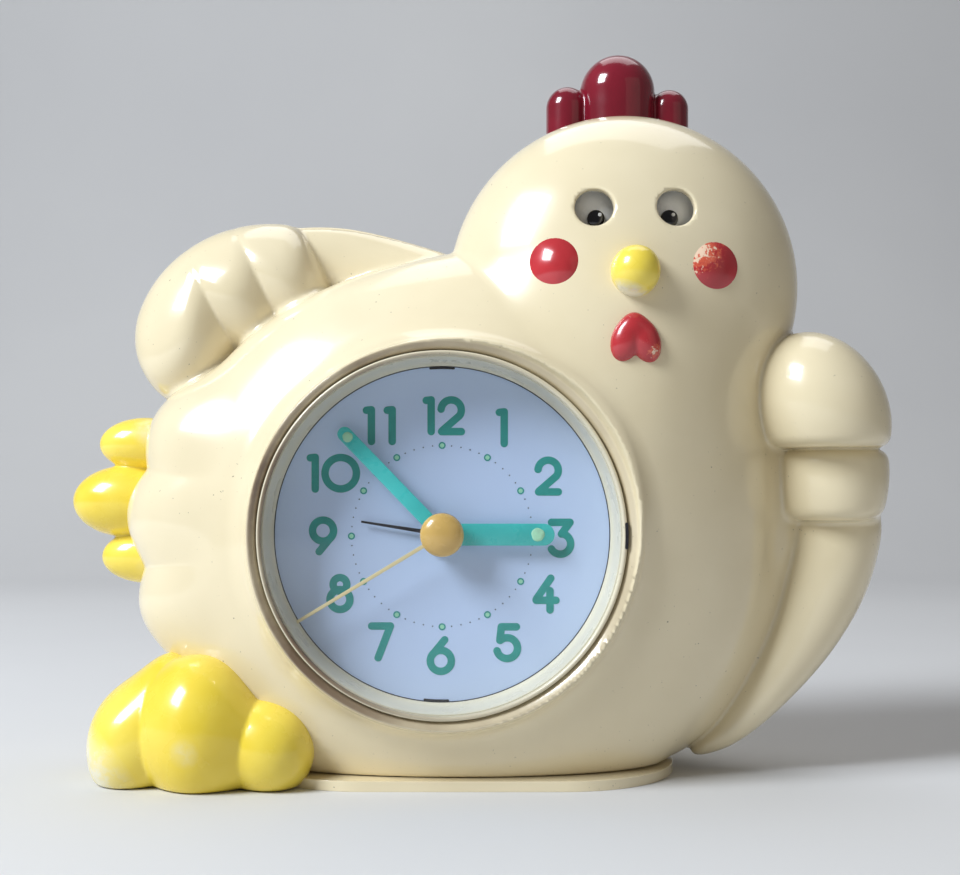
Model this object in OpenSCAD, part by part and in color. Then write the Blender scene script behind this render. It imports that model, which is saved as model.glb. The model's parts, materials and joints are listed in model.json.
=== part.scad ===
// Chicken-shaped quartz alarm clock. Front faces -Y, base on z = 0, halves part at y = 0.

/* [Case] */
// wall thickness of the moulded halves
wall = 2.4; // [1.8:0.1:3.2]
// y of the flat back
back_y = 24; // [20:1:30]
// height of the separate base plate
base_t = 2; // [1.5:0.1:3]
/* [Dial] */
// x of the clock's centre arbor
dial_x = -8.2; // [-12:0.1:-4]
// z of the clock's centre arbor
dial_z = 48.5; // [44:0.1:54]
// y of the dial's printed face
dial_y = -22; // [-24:0.5:-20]
// radius of the dial plate
dial_r = 33.8; // [30:0.1:34]
// outer radius of the collar round the bezel
collar_r = 35.8; // [35:0.1:38]
// y of the collar's front lip
collar_y = -32; // [-34:0.5:-30]

/* [Hands] */
// clock angles at rest, degrees clockwise from twelve
hour_at = 90; // [0:1:359]
// minute hand's angle at rest
minute_at = 316; // [0:1:359]
// second hand's angle at rest
second_at = 239; // [0:1:359]
// alarm hand's angle at rest
alarm_at = 279; // [0:1:359]
// length of the hour hand
hour_len = 21.5; // [18:0.5:24]
// length of the minute hand
minute_len = 28; // [25:0.5:30]
// length of the second hand
second_len = 32; // [28:0.5:32.5]
// length of the alarm hand
alarm_len = 15.7; // [12:0.1:18]

/* [Face] */
// x midway between the eye holes
face_x = 28.1; // [26:0.1:30]
// z of the eye holes
eye_z = 110.1; // [108:0.1:112]
// distance between the eye holes
eye_gap = 15.3; // [14:0.1:17]
// radius of an eye hole
eye_r = 3.7; // [3:0.1:4.5]
// height of the eye lever's pivot
pivot_z = 96; // [94:0.5:98]

/* [Back] */
// x of the battery door's middle
door_x = -4.6; // [-8:0.1:0]
// z of the battery door's middle
door_z = 27; // [25:0.5:30]
// radius of the loudspeaker
speaker_r = 18; // [14:0.5:20]

/* [Hidden] */
BIG = 400;
head = [28.2, -8, 97.4];
pinion_add = 0.8;       // tooth height above the pitch circle, in modules
pinion_ded = 1.1;       // tooth depth below it, in modules
third_dir = 210;        // direction of the third wheel from the centre
motor_dir = 330;        // direction of the intermediate wheel and rotor
minute_dir = 120;       // direction of the minute wheel and time knob
alarm_dir = 40;         // direction of the alarm knob
third_d = 9.18;
inter_d = 6;
rotor_d = 5.6;
minute_d = 7.2;
alarm_d = 10.8;
arbor = [dial_x, dial_z];
third_c = polar(arbor, third_dir, third_d);
inter_c = polar(arbor, motor_dir, inter_d);
rotor_c = polar(inter_c, motor_dir, rotor_d);
minute_c = polar(arbor, minute_dir, minute_d);
time_c = polar(minute_c, minute_dir, minute_d);
alarm_c = polar(arbor, alarm_dir, alarm_d);
time_phase = mesh(minute_dir, 36, mesh(minute_dir, 12, 0, 36), 12);
screw_pts = [[-45, 30], [-40, 76], [31, 28], [53, 90]];
ear = 26.5;             // half spacing of the movement's corner screws
coil_x = dial_x + 17.9;
lever_z = pivot_z - 10;
switch_c = [19, 66];
cream = [0.92, 0.87, 0.73];
yellow = [0.95, 0.83, 0.15];
red = [0.75, 0.1, 0.12];
turquoise = [0.25, 0.75, 0.65];
brassy = [0.8, 0.65, 0.3];
white = [0.93, 0.93, 0.9];
steel = [0.7, 0.7, 0.72];
black = [0.08, 0.08, 0.09];

function polar(c, a, d) = [c[0] + d * cos(a), c[1] + d * sin(a)];
// phase that puts wheel nb in mesh with wheel na (a tooth at angle ta), standing at angle a from it
function mesh(a, na, ta, nb) = a + 180 - 360 / nb * ((ta - a) * na / 360 + 0.5);

// ---- helpers ----
// extrudes a profile drawn in x and z, from y0 to y1
module slab(y0, y1) {
    translate([0, y1, 0]) rotate([90, 0, 0]) linear_extrude(y1 - y0) children();
}
// round bar along y at point c
module rod(c, y0, y1, r, fn = 48) {
    slab(y0, y1) translate(c) circle(r, $fn = fn);
}
module gear2d(n, m, phase) {
    rt = n * m / 2 + pinion_add * m;
    rr = n * m / 2 - pinion_ded * m;
    p = 360 / n;
    polygon([for (i = [0:n - 1]) for (s = [[-0.29, rr], [-0.12, rt], [0.12, rt], [0.29, rr]])
        [s[1] * cos(phase + p * (i + s[0])), s[1] * sin(phase + p * (i + s[0]))]]);
}
module gear(c, n, m, phase, y0, y1, bore = 0) {
    slab(y0, y1) translate(c) difference() {
        gear2d(n, m, phase);
        if (bore > 0) circle(bore, $fn = 40);
    }
}
// one rounded lobe of the body, drawn out towards the back by depth; the inside is plainer
module lobe(p, r, depth = 0, tilt = 0, inset = 0, fn = 32) {
    q = [r[0] - inset, r[1] - inset, r[2] - inset];
    hull() for (dy = [0, depth]) translate(p + [0, dy, 0]) rotate([0, tilt, 0])
        scale(q) sphere(1, $fn = inset > 1 ? round(fn * 0.3) * 2 : fn);
}
// a tapering limb through a list of [x, y, z, r, ry]
module limb(pts, inset = 0) {
    for (i = [0:len(pts) - 2]) hull() for (p = [pts[i], pts[i + 1]])
        translate([p[0], p[1], p[2]])
            scale([max(p[3] - inset, 0.4), max(p[4] - inset, 0.4), max(p[3] - inset, 0.4)])
                sphere(1, $fn = inset > 1 ? 14 : 18);
}

// ---- the body's shape ----
module trunk(inset = 0) {
    lobe([-4.6, -8, 46], [62.5, 25, 57.5], 14, 0, inset, 40);
    lobe([14, -8, 68], [43, 25, 37.5], 14, 0, inset, 32);
    lobe(head, [35.1, 23, 34.9], 16, 0, inset, 36);
}
module scallops(inset = 0) {
    lobe([-56.2, -7, 66], [12.4, 15, 13], 10, 0, inset, 20);
    lobe([-57.3, -7, 51.9], [15.2, 16, 13], 10, 0, inset, 22);
    lobe([-55.7, -7, 34.5], [14, 16, 11], 10, 0, inset, 22);
}
module raised_wing(inset = 0) {
    lobe([-61, 1, 91], [10.6, 12, 15.8], 0, 0, inset, 24);
    lobe([-51.5, 1, 98.5], [9.5, 12, 13.6], 0, -28, inset, 20);
    lobe([-42.3, 1, 100.8], [7.6, 11, 12.6], 0, -28, inset, 20);
    limb([[-40.5, 0, 105.2, 8, 8], [-27.8, 0, 103.8, 8, 8], [-8.6, 0, 97.4, 9.3, 8]], inset);
}
module folded_wing(inset = 0) {
    lobe([68.8, -12, 76], [12.9, 13, 14], 6, 0, inset, 24);
    lobe([72.4, -8, 58.3], [11.4, 12, 9], 4, 0, inset, 22);
    limb([[72.7, -4, 47.8, 9.9, 10], [69.6, -4, 36.5, 9.5, 10], [64.9, -4, 27.2, 8.7, 9],
          [59, -4, 18.7, 6.8, 8], [52.9, -4, 11.7, 4.3, 6], [45, -4, 4.6, 1.4, 3]], inset);
    // web that closes the gap to the body
    lobe([60, -3, 58], [9, 12, 16], 0, 0, inset, 20);
    limb([[62, -1, 47, 6, 7], [57, -1, 30, 6, 7], [48, -1, 13, 4, 6], [42, -1, 7, 3.5, 5]], inset);
}
module body_mass(inset = 0) {
    trunk(inset);
    scallops(inset);
    raised_wing(inset);
    folded_wing(inset);
}
module collar(r) { rod(arbor, collar_y, -14, r, 96); }
module below_base() { translate([-BIG / 2, -BIG / 2, -BIG]) cube([BIG, BIG, BIG + base_t]); }
module behind(y) { translate([-BIG / 2, y, -BIG / 2]) cube(BIG); }
module ahead(y) { translate([-BIG / 2, y - BIG, -BIG / 2]) cube(BIG); }
// outline of the comb's three fingers, in plan
module comb_plan(gap = 0) {
    translate([28.4, 2]) circle(7.8 + gap, $fn = 48);
    translate([17.9, 2]) circle(4.4 + gap, $fn = 40);
    translate([39.2, 2]) circle(4.1 + gap, $fn = 40);
}
module comb_slot() { translate([0, 0, 118]) linear_extrude(30) comb_plan(0.5); }

// ---- case ----
module front_shell() color(cream) {
    difference() {
        union() {
            difference() {
                union() { body_mass(); collar(collar_r); }
                body_mass(wall);
                rod(arbor, collar_y - 1, 0, 34.55, 96);
            }
            intersection() {
                body_mass(1);
                union() {
                    for (p = screw_pts) rod(p, -30, 0, 3.2, 20);
                    for (sx = [-1, 1], sz = [-1, 1])
                        rod(arbor + [sx * ear, sz * ear], -30, -20.95, 2.6, 20);
                    rod([face_x, pivot_z], -31, -25, 2.6, 20);
                }
            }
        }
        for (p = screw_pts) rod(p, -9, 1, 1.5, 16);
        for (sx = [-1, 1], sz = [-1, 1]) rod(arbor + [sx * ear, sz * ear], -23.6, -20, 1.2, 16);
        rod([face_x, pivot_z], -27.3, -24, 1.3, 16);
        for (s = [-1, 1]) rod([face_x + s * eye_gap / 2, eye_z], -40, -20, eye_r, 32);
        rod(arbor, -21, 0, 34.55, 96);
        comb_slot();
        behind(0);
        below_base();
    }
}

module rear_shell() color(cream) {
    difference() {
        union() {
            difference() {
                body_mass();
                difference() { body_mass(wall); behind(back_y - wall); }
            }
            intersection() {
                body_mass(1);
                union() {
                    for (p = screw_pts) rod(p, 0, back_y, 4.6, 20);
                    for (p = [time_c, alarm_c]) rod(p, 14.8, back_y, 9.4, 32);
                    for (x = [6, 36]) rod([x, 62], 6.25, back_y, 2.2, 16);
                }
            }
        }
        for (p = screw_pts) { rod(p, -1, 30, 1.9, 16); rod(p, 9, 40, 3.3, 20); }
        for (p = [time_c, alarm_c]) { rod(p, 17, 40, 7, 32); rod(p, 10, 40, 2.1, 20); }
        for (i = [-2:2]) translate([face_x - 12 + abs(i) * 2, 18, head[2] - 1 + i * 5])
            cube([24 - abs(i) * 4, 20, 2]);
        translate([door_x - 28.4, 15, door_z - 9.9]) cube([56.8, 20, 19.8]);
        translate([switch_c[0] - 5, 15, switch_c[1] - 2.4]) cube([10, 20, 4.8]);
        behind(back_y);
        comb_slot();
        ahead(0);
        below_base();
    }
}

module base_plan() {
    translate([-23, -27]) square([38, 50]);
    translate([-47, -3]) square([86, 2]);
    for (x = [-23, 15], y = [-3, -1]) translate([x, y]) circle(24, $fn = 90);
}
module base_plate() color(cream) {
    linear_extrude(base_t) difference() {
        base_plan();
        for (x = [-34, 26], y = [-14, 10]) translate([x, y]) circle(1.6, $fn = 32);
    }
}

// ---- painted and raised features of the front ----
module foot() color(yellow) {
    difference() {
        union() {
            lobe([-69.5, -17, 6.5], [8, 12, 10.5], 0, 0, 0, 20);
            lobe([-65.8, -16, 13], [6, 10, 12.5], 0, 25, 0, 20);
            lobe([-54.6, -22, 10.5], [11.4, 13, 14.6], 0, 0, 0, 26);
            lobe([-39.8, -23, 7.2], [7.1, 10, 9.2], 0, 0, 0, 20);
        }
        body_mass();
        translate([-BIG / 2, -BIG / 2, -BIG]) cube(BIG);
        translate([0, 0, -1]) linear_extrude(base_t + 1) base_plan();
    }
}
module tail() color(yellow) {
    difference() {
        union() {
            lobe([-73.7, 2, 66.9], [6.5, 6, 5.3], 0, 0, 0, 16);
            lobe([-76.9, 2, 54.7], [9, 8, 7.5], 0, 0, 0, 20);
            lobe([-73.2, 2, 42.8], [6.5, 6, 5.4], 0, 0, 0, 16);
        }
        body_mass();
    }
}
module beak() color(yellow) {
    difference() {
        lobe([27.9, -33.2, 98.3], [4.5, 4.8, 4.8], 0, 0, 0, 22);
        body_mass();
    }
}
module wattle() color(red) {
    difference() {
        union() {
            lobe([25.5, -29.6, 84.6], [2.6, 3.2, 3.6], 0, 18, 0, 16);
            lobe([29.7, -29.6, 84.6], [2.6, 3.2, 3.6], 0, -18, 0, 16);
            lobe([27.6, -29.8, 86.9], [2.4, 2.8, 3.2], 0, 0, 0, 16);
        }
        body_mass();
    }
}
module cheeks() color(red) {
    difference() {
        union() for (s = [-1, 1])
            lobe([face_x + s * 15.1, -28, 99.8 - s * 0.4], [4.2, 2.4, 4.2], 0, 0, 0, 20);
        body_mass();
    }
}

// ---- comb, a sprung press button ----
module comb_button() color([0.5, 0.03, 0.07]) {
    difference() {
        union() {
            for (f = [[28.4, 7.8, 140.2], [17.9, 4.4, 137.1], [39.2, 4.1, 136.8]]) {
                translate([f[0], 2, 122.5]) cylinder(h = f[2] - 122.5, r = f[1], $fn = 48);
                translate([f[0], 2, f[2]]) sphere(f[1], $fn = 48);
            }
            translate([12.5, -4.5, 122.5]) cube([31.7, 13, 2]);
        }
        translate([28.4, 2, 120]) cylinder(h = 8, r = 4, $fn = 40);
    }
}
module comb_spring() color(steel) {
    for (i = [0:5]) translate([28.4, 2, 111.8 + i * 3.1]) {
        rotate_extrude($fn = 40) translate([3.1, 0]) circle(0.4, $fn = 16);
        if (i < 5) translate([3.1 * (i % 2 * 2 - 1), 0, 0]) cylinder(h = 3.1, r = 0.3, $fn = 16);
    }
}
module comb_guide() color(white) {
    difference() {
        union() {
            translate([14, -8, 108.4]) cube([28.8, 20, 2.8]);
            translate([0.6, -1.5, 108.4]) cube([55, 3, 2.8]);
        }
        translate([28.4, 2, 107]) cylinder(h = 5, r = 1.5, $fn = 24);
    }
}

// ---- dial, bezel and lens ----
module bezel_ring() color(cream) {
    translate([dial_x, 0, dial_z]) rotate([90, 0, 0]) rotate_extrude($fn = 96)
        polygon([[32.3, 22.1], [34.5, 22.1], [34.5, 31.6], [34.2, 31.9], [33.6, 31.9],
            [33.3, 31.5], [33.3, 30.95], [34, 30.95], [34, 29.65], [33.3, 29.65], [32.9, 25]]);
}
module lens() color([0.85, 0.92, 0.95, 0.3]) { rod(arbor, -30.9, -29.7, 33.95, 96); }
module dial() color([0.9, 0.93, 0.96]) {
    slab(dial_y, dial_y + 1) translate(arbor) difference() {
        circle(dial_r, $fn = 96);
        circle(4.1, $fn = 40);
    }
}

// ---- hands ----
module hand(angle, y0, y1, hub, bore) {
    slab(y0, y1) translate(arbor) rotate(-angle) difference() {
        union() { circle(hub, $fn = 40); children(); }
        circle(bore, $fn = 40);
    }
}
module straight(w, len) {
    translate([-w / 2, 0]) square([w, len - w / 2]);
    translate([0, len - w / 2]) circle(w / 2, $fn = 32);
}
module hour_hand() color(turquoise) { hand(hour_at, -24.3, -23.9, 3.6, 2.1) straight(4.2, hour_len); }
module minute_hand() color(turquoise) {
    hand(minute_at, -25.4, -25, 3.2, 1.45) straight(2.8, minute_len);
}
module second_hand() color([0.93, 0.87, 0.6]) {
    hand(second_at, -26.4, -26.1, 2.2, 0.6) translate([-0.3, 0]) square([0.6, second_len]);
}
module alarm_hand() color(black) {
    hand(alarm_at, -23.2, -22.9, 3.9, 2.8)
        polygon([[-0.7, 0], [0.7, 0], [0.2, alarm_len], [-0.2, alarm_len]]);
}
module dot(angle, d, r, y0, y1) { rod(polar(arbor, 90 - angle, d), y0, y1, r, 32); }
module hour_lume() color([0.75, 0.95, 0.75]) { dot(hour_at, 18.3, 1.3, -24.5, -24.3); }
module minute_lume() color([0.75, 0.95, 0.75]) { dot(minute_at, 25.8, 1, -25.6, -25.4); }
module centre_cap() color([0.95, 0.72, 0.25]) {
    difference() {
        intersection() {
            translate([dial_x, -24.4, dial_z]) sphere(4.7, $fn = 64);
            rod(arbor, -30, -26.6, 4.3, 64);
        }
        rod(arbor, -27.4, -26, 0.6, 24);
    }
}

// ---- movement: plates ----
module front_plate() color(white) {
    difference() {
        union() {
            slab(-20.9, -19.9) translate(arbor) intersection() {
                square(58, center = true);
                circle(38.6, $fn = 96);
            }
            rod(arbor, -22.5, -20.9, 4);
            for (p = [[-1, -1], [-1, 1], [1, -1], [1, 1]])
                rod(arbor + [p[0] * 17, p[1] * 18], -19.9, -16, 1.6, 24);
        }
        rod(arbor, -23, -19, 2.88);
        for (sx = [-1, 1], sz = [-1, 1]) rod(arbor + [sx * ear, sz * ear], -22, -19, 1.6, 24);
    }
}
module bridge_plate() color(white) {
    difference() {
        slab(-16, -15.2) translate(arbor) square([40, 42], center = true);
        slab(-17, -15) translate(arbor + [13.6, -16.4]) square([10, 19]);
        rod(arbor, -17, -15, 1.17);
        for (c = [time_c, alarm_c]) rod(c, -17, -15, 1.56);
        for (c = [third_c, rotor_c]) rod(c, -17, -15, 0.44, 24);
        rod(minute_c, -17, -15, 0.5, 24);
    }
}
module movement_cover() color(white) {
    difference() {
        slab(-19.9, -5.6) translate(arbor) square(48, center = true);
        slab(-20, -7) translate(arbor) square(45.2, center = true);
        for (c = [time_c, alarm_c]) rod(c, -8, -5, 1.56);
    }
    difference() {
        for (c = [arbor, third_c, inter_c, rotor_c]) rod(c, -9, -7, 1.4, 24);
        for (c = [arbor, third_c, inter_c, rotor_c]) rod(c, -10, -7.4, 0.44, 24);
    }
}
module movement_screws() color(steel) {
    for (sx = [-1, 1], sz = [-1, 1]) {
        rod(arbor + [sx * ear, sz * ear], -23, -19.8, 1, 24);
        rod(arbor + [sx * ear, sz * ear], -19.8, -18.6, 2, 24);
    }
}

// ---- movement: wheels ----
module alarm_wheel() color(white) {
    gear(arbor, 48, 0.36, 0, -19.4, -18.8, 2.18);
    slab(-23.2, -19.4) translate(arbor) difference() {
        circle(2.8, $fn = 40);
        circle(2.18, $fn = 40);
    }
}
module hour_wheel() color(white) {
    gear(arbor, 40, 0.288, mesh(minute_dir + 180, 10, 0, 40), -18.4, -17.8, 1.52);
    slab(-24.3, -18.4) translate(arbor) difference() {
        circle(2.1, $fn = 40);
        circle(1.52, $fn = 40);
    }
}
module cannon_pinion() color(brassy) {
    gear(arbor, 12, 0.3, 0, -17.5, -16.4, 1.15);
    slab(-25.4, -17.5) translate(arbor) difference() {
        circle(1.45, $fn = 40);
        circle(1.15, $fn = 40);
    }
}
module minute_wheel() color(white) {
    gear(minute_c, 36, 0.3, mesh(minute_dir, 12, 0, 36), -17.2, -16.6);
    gear(minute_c, 10, 0.288, 0, -18.5, -17.2);
    rod(minute_c, -16.6, -15.4, 0.45, 24);
}
module centre_wheel() color(brassy) {
    gear(arbor, 64, 0.255, mesh(third_dir + 180, 8, 0, 64), -14.8, -14.2, 0.66);
    slab(-17.4, -14.8) translate(arbor) difference() {
        circle(1.1, $fn = 40);
        circle(0.66, $fn = 40);
    }
}
module third_wheel() color(white) {
    gear(third_c, 8, 0.255, 0, -15, -13.5);
    gear(third_c, 60, 0.27, mesh(third_dir, 8, 0, 60), -13.5, -12.9);
    rod(third_c, -12.9, -7.8, 0.38, 24);
    rod(third_c, -15.8, -15, 0.38, 24);
}
module second_wheel() color(white) {
    gear(arbor, 8, 0.27, 0, -13.8, -12.2);
    gear(arbor, 40, 0.25, 0, -12.2, -11.6);
    rod(arbor, -27.3, -13.8, 0.6, 24);
    rod(arbor, -11.6, -7.8, 0.38, 24);
}
module intermediate_wheel() color(white) {
    gear(inter_c, 8, 0.25, mesh(motor_dir, 40, 0, 8), -12.5, -10.9);
    gear(inter_c, 48, 0.2, 0, -10.9, -10.3);
    rod(inter_c, -10.3, -7.8, 0.38, 24);
}
module rotor() color(white) {
    gear(rotor_c, 8, 0.2, mesh(motor_dir, 48, 0, 8), -11.3, -9.8);
    rod(rotor_c, -15.8, -11.3, 0.38, 24);
    rod(rotor_c, -9.8, -7.8, 0.38, 24);
}
module rotor_magnet() color(black) {
    difference() {
        rod(rotor_c, -13.9, -11.3, 2.4, 40);
        rod(rotor_c, -14, -11, 0.38, 24);
    }
}
module stator() color(steel) {
    difference() {
        union() {
            rod(rotor_c, -13.1, -12.3, 4, 48);
            slab(-13.1, -12.3) {
                translate([rotor_c[0] - 1.5, rotor_c[1] + 2]) square([3, 8]);
                translate([rotor_c[0] - 1.5, rotor_c[1] + 8]) square([coil_x - rotor_c[0] + 3, 3]);
                translate([rotor_c[0] - 1.5, rotor_c[1] - 11]) square([3, 9]);
                translate([rotor_c[0] - 1.5, rotor_c[1] - 13]) square([coil_x - rotor_c[0] + 3, 3]);
                translate([coil_x - 1.5, rotor_c[1] - 12]) square([3, 22]);
            }
        }
        rod(rotor_c, -14, -12, 2.85, 48);
    }
}
module coil() color([0.72, 0.35, 0.15]) {
    difference() {
        union() {
            translate([coil_x, -12.7, rotor_c[1] - 9]) cylinder(h = 16, r = 3.2, $fn = 40);
            for (z = [-9.6, 6.4]) translate([coil_x - 3.6, -16.2, rotor_c[1] + z]) cube([7.2, 7.2, 0.8]);
        }
        translate([coil_x - 1.55, -13.15, rotor_c[1] - 10]) cube([3.1, 0.9, 18]);
    }
}
module clock_board() color([0.1, 0.35, 0.2]) {
    slab(-9, -8) translate(arbor) difference() {
        translate([-22, -22]) square([33, 13]);
        for (x = [-20, 9]) translate([x, -20]) circle(0.8, $fn = 24);
    }
}
module crystal() color(steel) {
    translate([dial_x - 17, -10.6, dial_z - 14]) rotate([0, 90, 0]) cylinder(h = 8, r = 1.5, $fn = 32);
}

// ---- setting knobs and switch ----
module knob(c, pinion_n, m, phase, y0, y1, teeth_y) {
    gear(c, pinion_n, m, phase, y0, teeth_y);
    rod(c, teeth_y, y1, 1.5, 40);
    slab(y1, y1 + 5.4) translate(c) difference() {
        circle(5.6, $fn = 64);
        for (a = [0:18:342]) rotate(a) translate([5.75, 0]) circle(0.45, $fn = 12);
    }
}
module time_knob() color(white) { knob(time_c, 12, 0.3, time_phase, -17.5, 17.6, -16.3); }
module alarm_knob() color(white) {
    knob(alarm_c, 12, 0.36, mesh(alarm_dir, 48, 0, 12), -19.6, 17.6, -18.6);
}
module alarm_switch() color(black) {
    translate([switch_c[0] - 4.4, 19.8, switch_c[1] - 2]) cube([4, 5.2, 4]);
    translate([switch_c[0] - 5.4, 18.8, switch_c[1] - 3.4]) cube([6, 1, 6.8]);
}
module switch_body() color(steel) {
    difference() {
        translate([switch_c[0] - 7, 13.6, switch_c[1] - 4.6]) cube([14, 7.8, 9.2]);
        translate([switch_c[0] - 5.8, 18.4, switch_c[1] - 3.8]) cube([11.6, 4, 7.6]);
    }
}

// ---- battery ----
module battery_tray() color(black) {
    difference() {
        translate([door_x - 30, 4.6, door_z - 9.6]) cube([60, 16.5, 19.2]);
        translate([door_x - 27, 6, door_z - 7.8]) cube([54, 20, 15.6]);
    }
}
module battery_cell() color([0.2, 0.25, 0.5]) {
    translate([door_x - 24.3, 13.9, door_z]) rotate([0, 90, 0]) {
        cylinder(h = 49, r = 7.2, $fn = 64);
        translate([0, 0, 49]) cylinder(h = 1.4, r = 2.7, $fn = 32);
    }
}
module contacts() color(steel) {
    translate([door_x + 26.2, 8, door_z - 5]) cube([0.5, 11, 10]);
    translate([door_x - 26.7, 8, door_z - 5]) cube([0.5, 11, 10]);
    for (i = [0:1]) translate([door_x - 26.2 + i * 0.8, 13.9, door_z]) rotate([0, 90, 0])
        cylinder(h = 0.8, r1 = 5 - i, r2 = 4.4 - i, $fn = 40);
}
module battery_door() color(cream) {
    difference() {
        union() {
            translate([door_x - 28, back_y - 1.9, door_z - 8.6]) cube([56, 1.7, 18.1]);
            translate([door_x - 28, back_y - 1.05, door_z - 8.6]) rotate([0, 90, 0])
                cylinder(h = 56, r = 0.85, $fn = 32);
        }
        for (x = [-9, 9]) translate([door_x + x - 3, back_y - 0.8, door_z + 5]) cube([6, 2, 1]);
    }
}

// ---- voice ----
module speaker_frame() color(steel) {
    translate([face_x, 0, head[2]]) rotate([-90, 0, 0]) rotate_extrude($fn = 64)
        polygon([[6, 13.4], [9, 13.4], [speaker_r - 2, 19.4], [speaker_r, 19.4], [speaker_r, 21],
            [speaker_r - 2.6, 21], [8.4, 14.6], [6, 14.6]]);
}
module speaker_cone() color(black) {
    translate([face_x, 0, head[2]]) rotate([-90, 0, 0]) rotate_extrude($fn = 64)
        polygon([[0, 16], [4, 16], [speaker_r - 3.2, 21], [speaker_r - 0.6, 21],
            [speaker_r - 0.6, 21.4], [speaker_r - 3.4, 21.4], [3.6, 16.6], [0, 16.6]]);
}
module speaker_magnet() color(steel) { rod([face_x, head[2]], 8.4, 13.4, 9, 48); }
module sound_board() color([0.1, 0.35, 0.2]) {
    slab(5, 6.2) difference() {
        translate([4, 60]) square([34, 15]);
        for (x = [6, 36]) translate([x, 62]) circle(0.9, $fn = 24);
    }
}
module sound_chip() color(black) {
    translate([16, 3.2, 64]) cube([10, 1.8, 7]);
    translate([29, -3, 67]) rotate([-90, 0, 0]) cylinder(h = 8, r = 2.5, $fn = 32);
}

// ---- swinging eyes ----
module eyes() color(white) {
    difference() {
        union() {
            for (s = [-1, 1]) {
                rod([face_x + s * 7.15, eye_z - 0.6], -23.4, -22.4, 5.9, 40);
                intersection() {
                    translate([face_x + s * 7.15, -14.5, eye_z - 0.6]) sphere(10, $fn = 64);
                    rod([face_x + s * 7.15, eye_z - 0.6], -25, -23.4, 4.6, 40);
                }
            }
            slab(-23.4, -22.4) translate([face_x - 2.2, lever_z + 2]) square([4.4, 24]);
            slab(-23.4, -22.4) translate([face_x - 8, eye_z - 3]) square([16, 4]);
            rod([face_x, lever_z], -23.4, -22.4, 4, 40);
            rod([face_x, pivot_z], -24.4, -21.4, 2.6, 40);
        }
        rod([face_x, pivot_z], -26, -20, 1.26, 40);
    }
}
module pupils() color(black) {
    for (s = [-1, 1]) rod([face_x + s * 7, eye_z - 1.4], -24.75, -24.5, 1.65, 32);
}
module eye_pivot() color(steel) {
    rod([face_x, pivot_z], -27.2, -20.6, 1.2, 40);
    rod([face_x, pivot_z], -20.6, -20, 2.2, 40);
}
module eye_magnet() color(steel) { rod([face_x, lever_z], -22.4, -20.4, 3.2, 40); }
module eye_coil() color([0.72, 0.35, 0.15]) {
    rod([face_x, lever_z], -19.4, -12, 4, 40);
    rod([face_x, lever_z], -12, -11, 5.2, 40);
}
module eye_bracket() color(white) {
    slab(-11, -10) translate([face_x - 16, lever_z - 6]) square([32, 12]);
    for (s = [-1, 1]) rod([face_x + s * 14, lever_z], -23.8, -11, 1.6, 24);
}

// ---- screws ----
module case_screws() color(steel) {
    for (p = screw_pts) {
        rod(p, -8.4, 6.6, 1.3, 24);
        difference() {
            rod(p, 9.1, 11, 2.8, 32);
            for (a = [0, 90]) slab(10.2, 12) translate(p) rotate(a) square([3.4, 0.7], center = true);
        }
        rod(p, 6.6, 9.1, 1.3, 24);
    }
}

front_shell();
rear_shell();
base_plate();
foot();
tail();
beak();
wattle();
cheeks();
comb_button();
comb_spring();
comb_guide();
bezel_ring();
lens();
dial();
hour_hand();
minute_hand();
second_hand();
alarm_hand();
hour_lume();
minute_lume();
centre_cap();
front_plate();
bridge_plate();
movement_cover();
movement_screws();
alarm_wheel();
hour_wheel();
cannon_pinion();
minute_wheel();
centre_wheel();
third_wheel();
second_wheel();
intermediate_wheel();
rotor();
rotor_magnet();
stator();
coil();
clock_board();
crystal();
time_knob();
alarm_knob();
alarm_switch();
switch_body();
battery_tray();
battery_cell();
contacts();
battery_door();
speaker_frame();
speaker_cone();
speaker_magnet();
sound_board();
sound_chip();
eyes();
pupils();
eye_pivot();
eye_magnet();
eye_coil();
eye_bracket();
case_screws();
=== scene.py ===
import json
import math

import bmesh
import bpy
import numpy as np
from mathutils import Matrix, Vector

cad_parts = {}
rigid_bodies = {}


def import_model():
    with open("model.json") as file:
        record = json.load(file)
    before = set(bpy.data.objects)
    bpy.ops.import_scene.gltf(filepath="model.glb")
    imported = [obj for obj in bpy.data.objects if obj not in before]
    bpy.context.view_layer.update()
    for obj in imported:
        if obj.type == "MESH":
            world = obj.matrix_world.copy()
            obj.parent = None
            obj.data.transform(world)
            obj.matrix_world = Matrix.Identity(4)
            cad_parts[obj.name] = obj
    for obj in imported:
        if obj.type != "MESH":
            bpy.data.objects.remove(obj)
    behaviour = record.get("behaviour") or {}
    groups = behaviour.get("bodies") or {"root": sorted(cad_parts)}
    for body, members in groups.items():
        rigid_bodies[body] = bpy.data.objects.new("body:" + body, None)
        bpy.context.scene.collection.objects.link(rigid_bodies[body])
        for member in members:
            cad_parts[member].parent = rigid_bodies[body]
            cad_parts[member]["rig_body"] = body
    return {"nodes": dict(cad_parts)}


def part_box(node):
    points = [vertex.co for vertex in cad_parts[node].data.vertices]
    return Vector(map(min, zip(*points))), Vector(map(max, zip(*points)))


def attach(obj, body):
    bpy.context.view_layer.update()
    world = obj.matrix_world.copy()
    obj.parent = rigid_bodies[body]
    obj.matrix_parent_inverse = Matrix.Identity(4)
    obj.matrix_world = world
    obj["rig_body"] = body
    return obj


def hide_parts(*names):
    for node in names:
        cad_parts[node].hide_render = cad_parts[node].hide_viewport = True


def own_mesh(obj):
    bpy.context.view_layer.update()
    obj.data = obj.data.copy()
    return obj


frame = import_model()
bpy.context.scene.view_settings.view_transform = "Standard"
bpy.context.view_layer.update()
MM = 0.001

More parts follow.
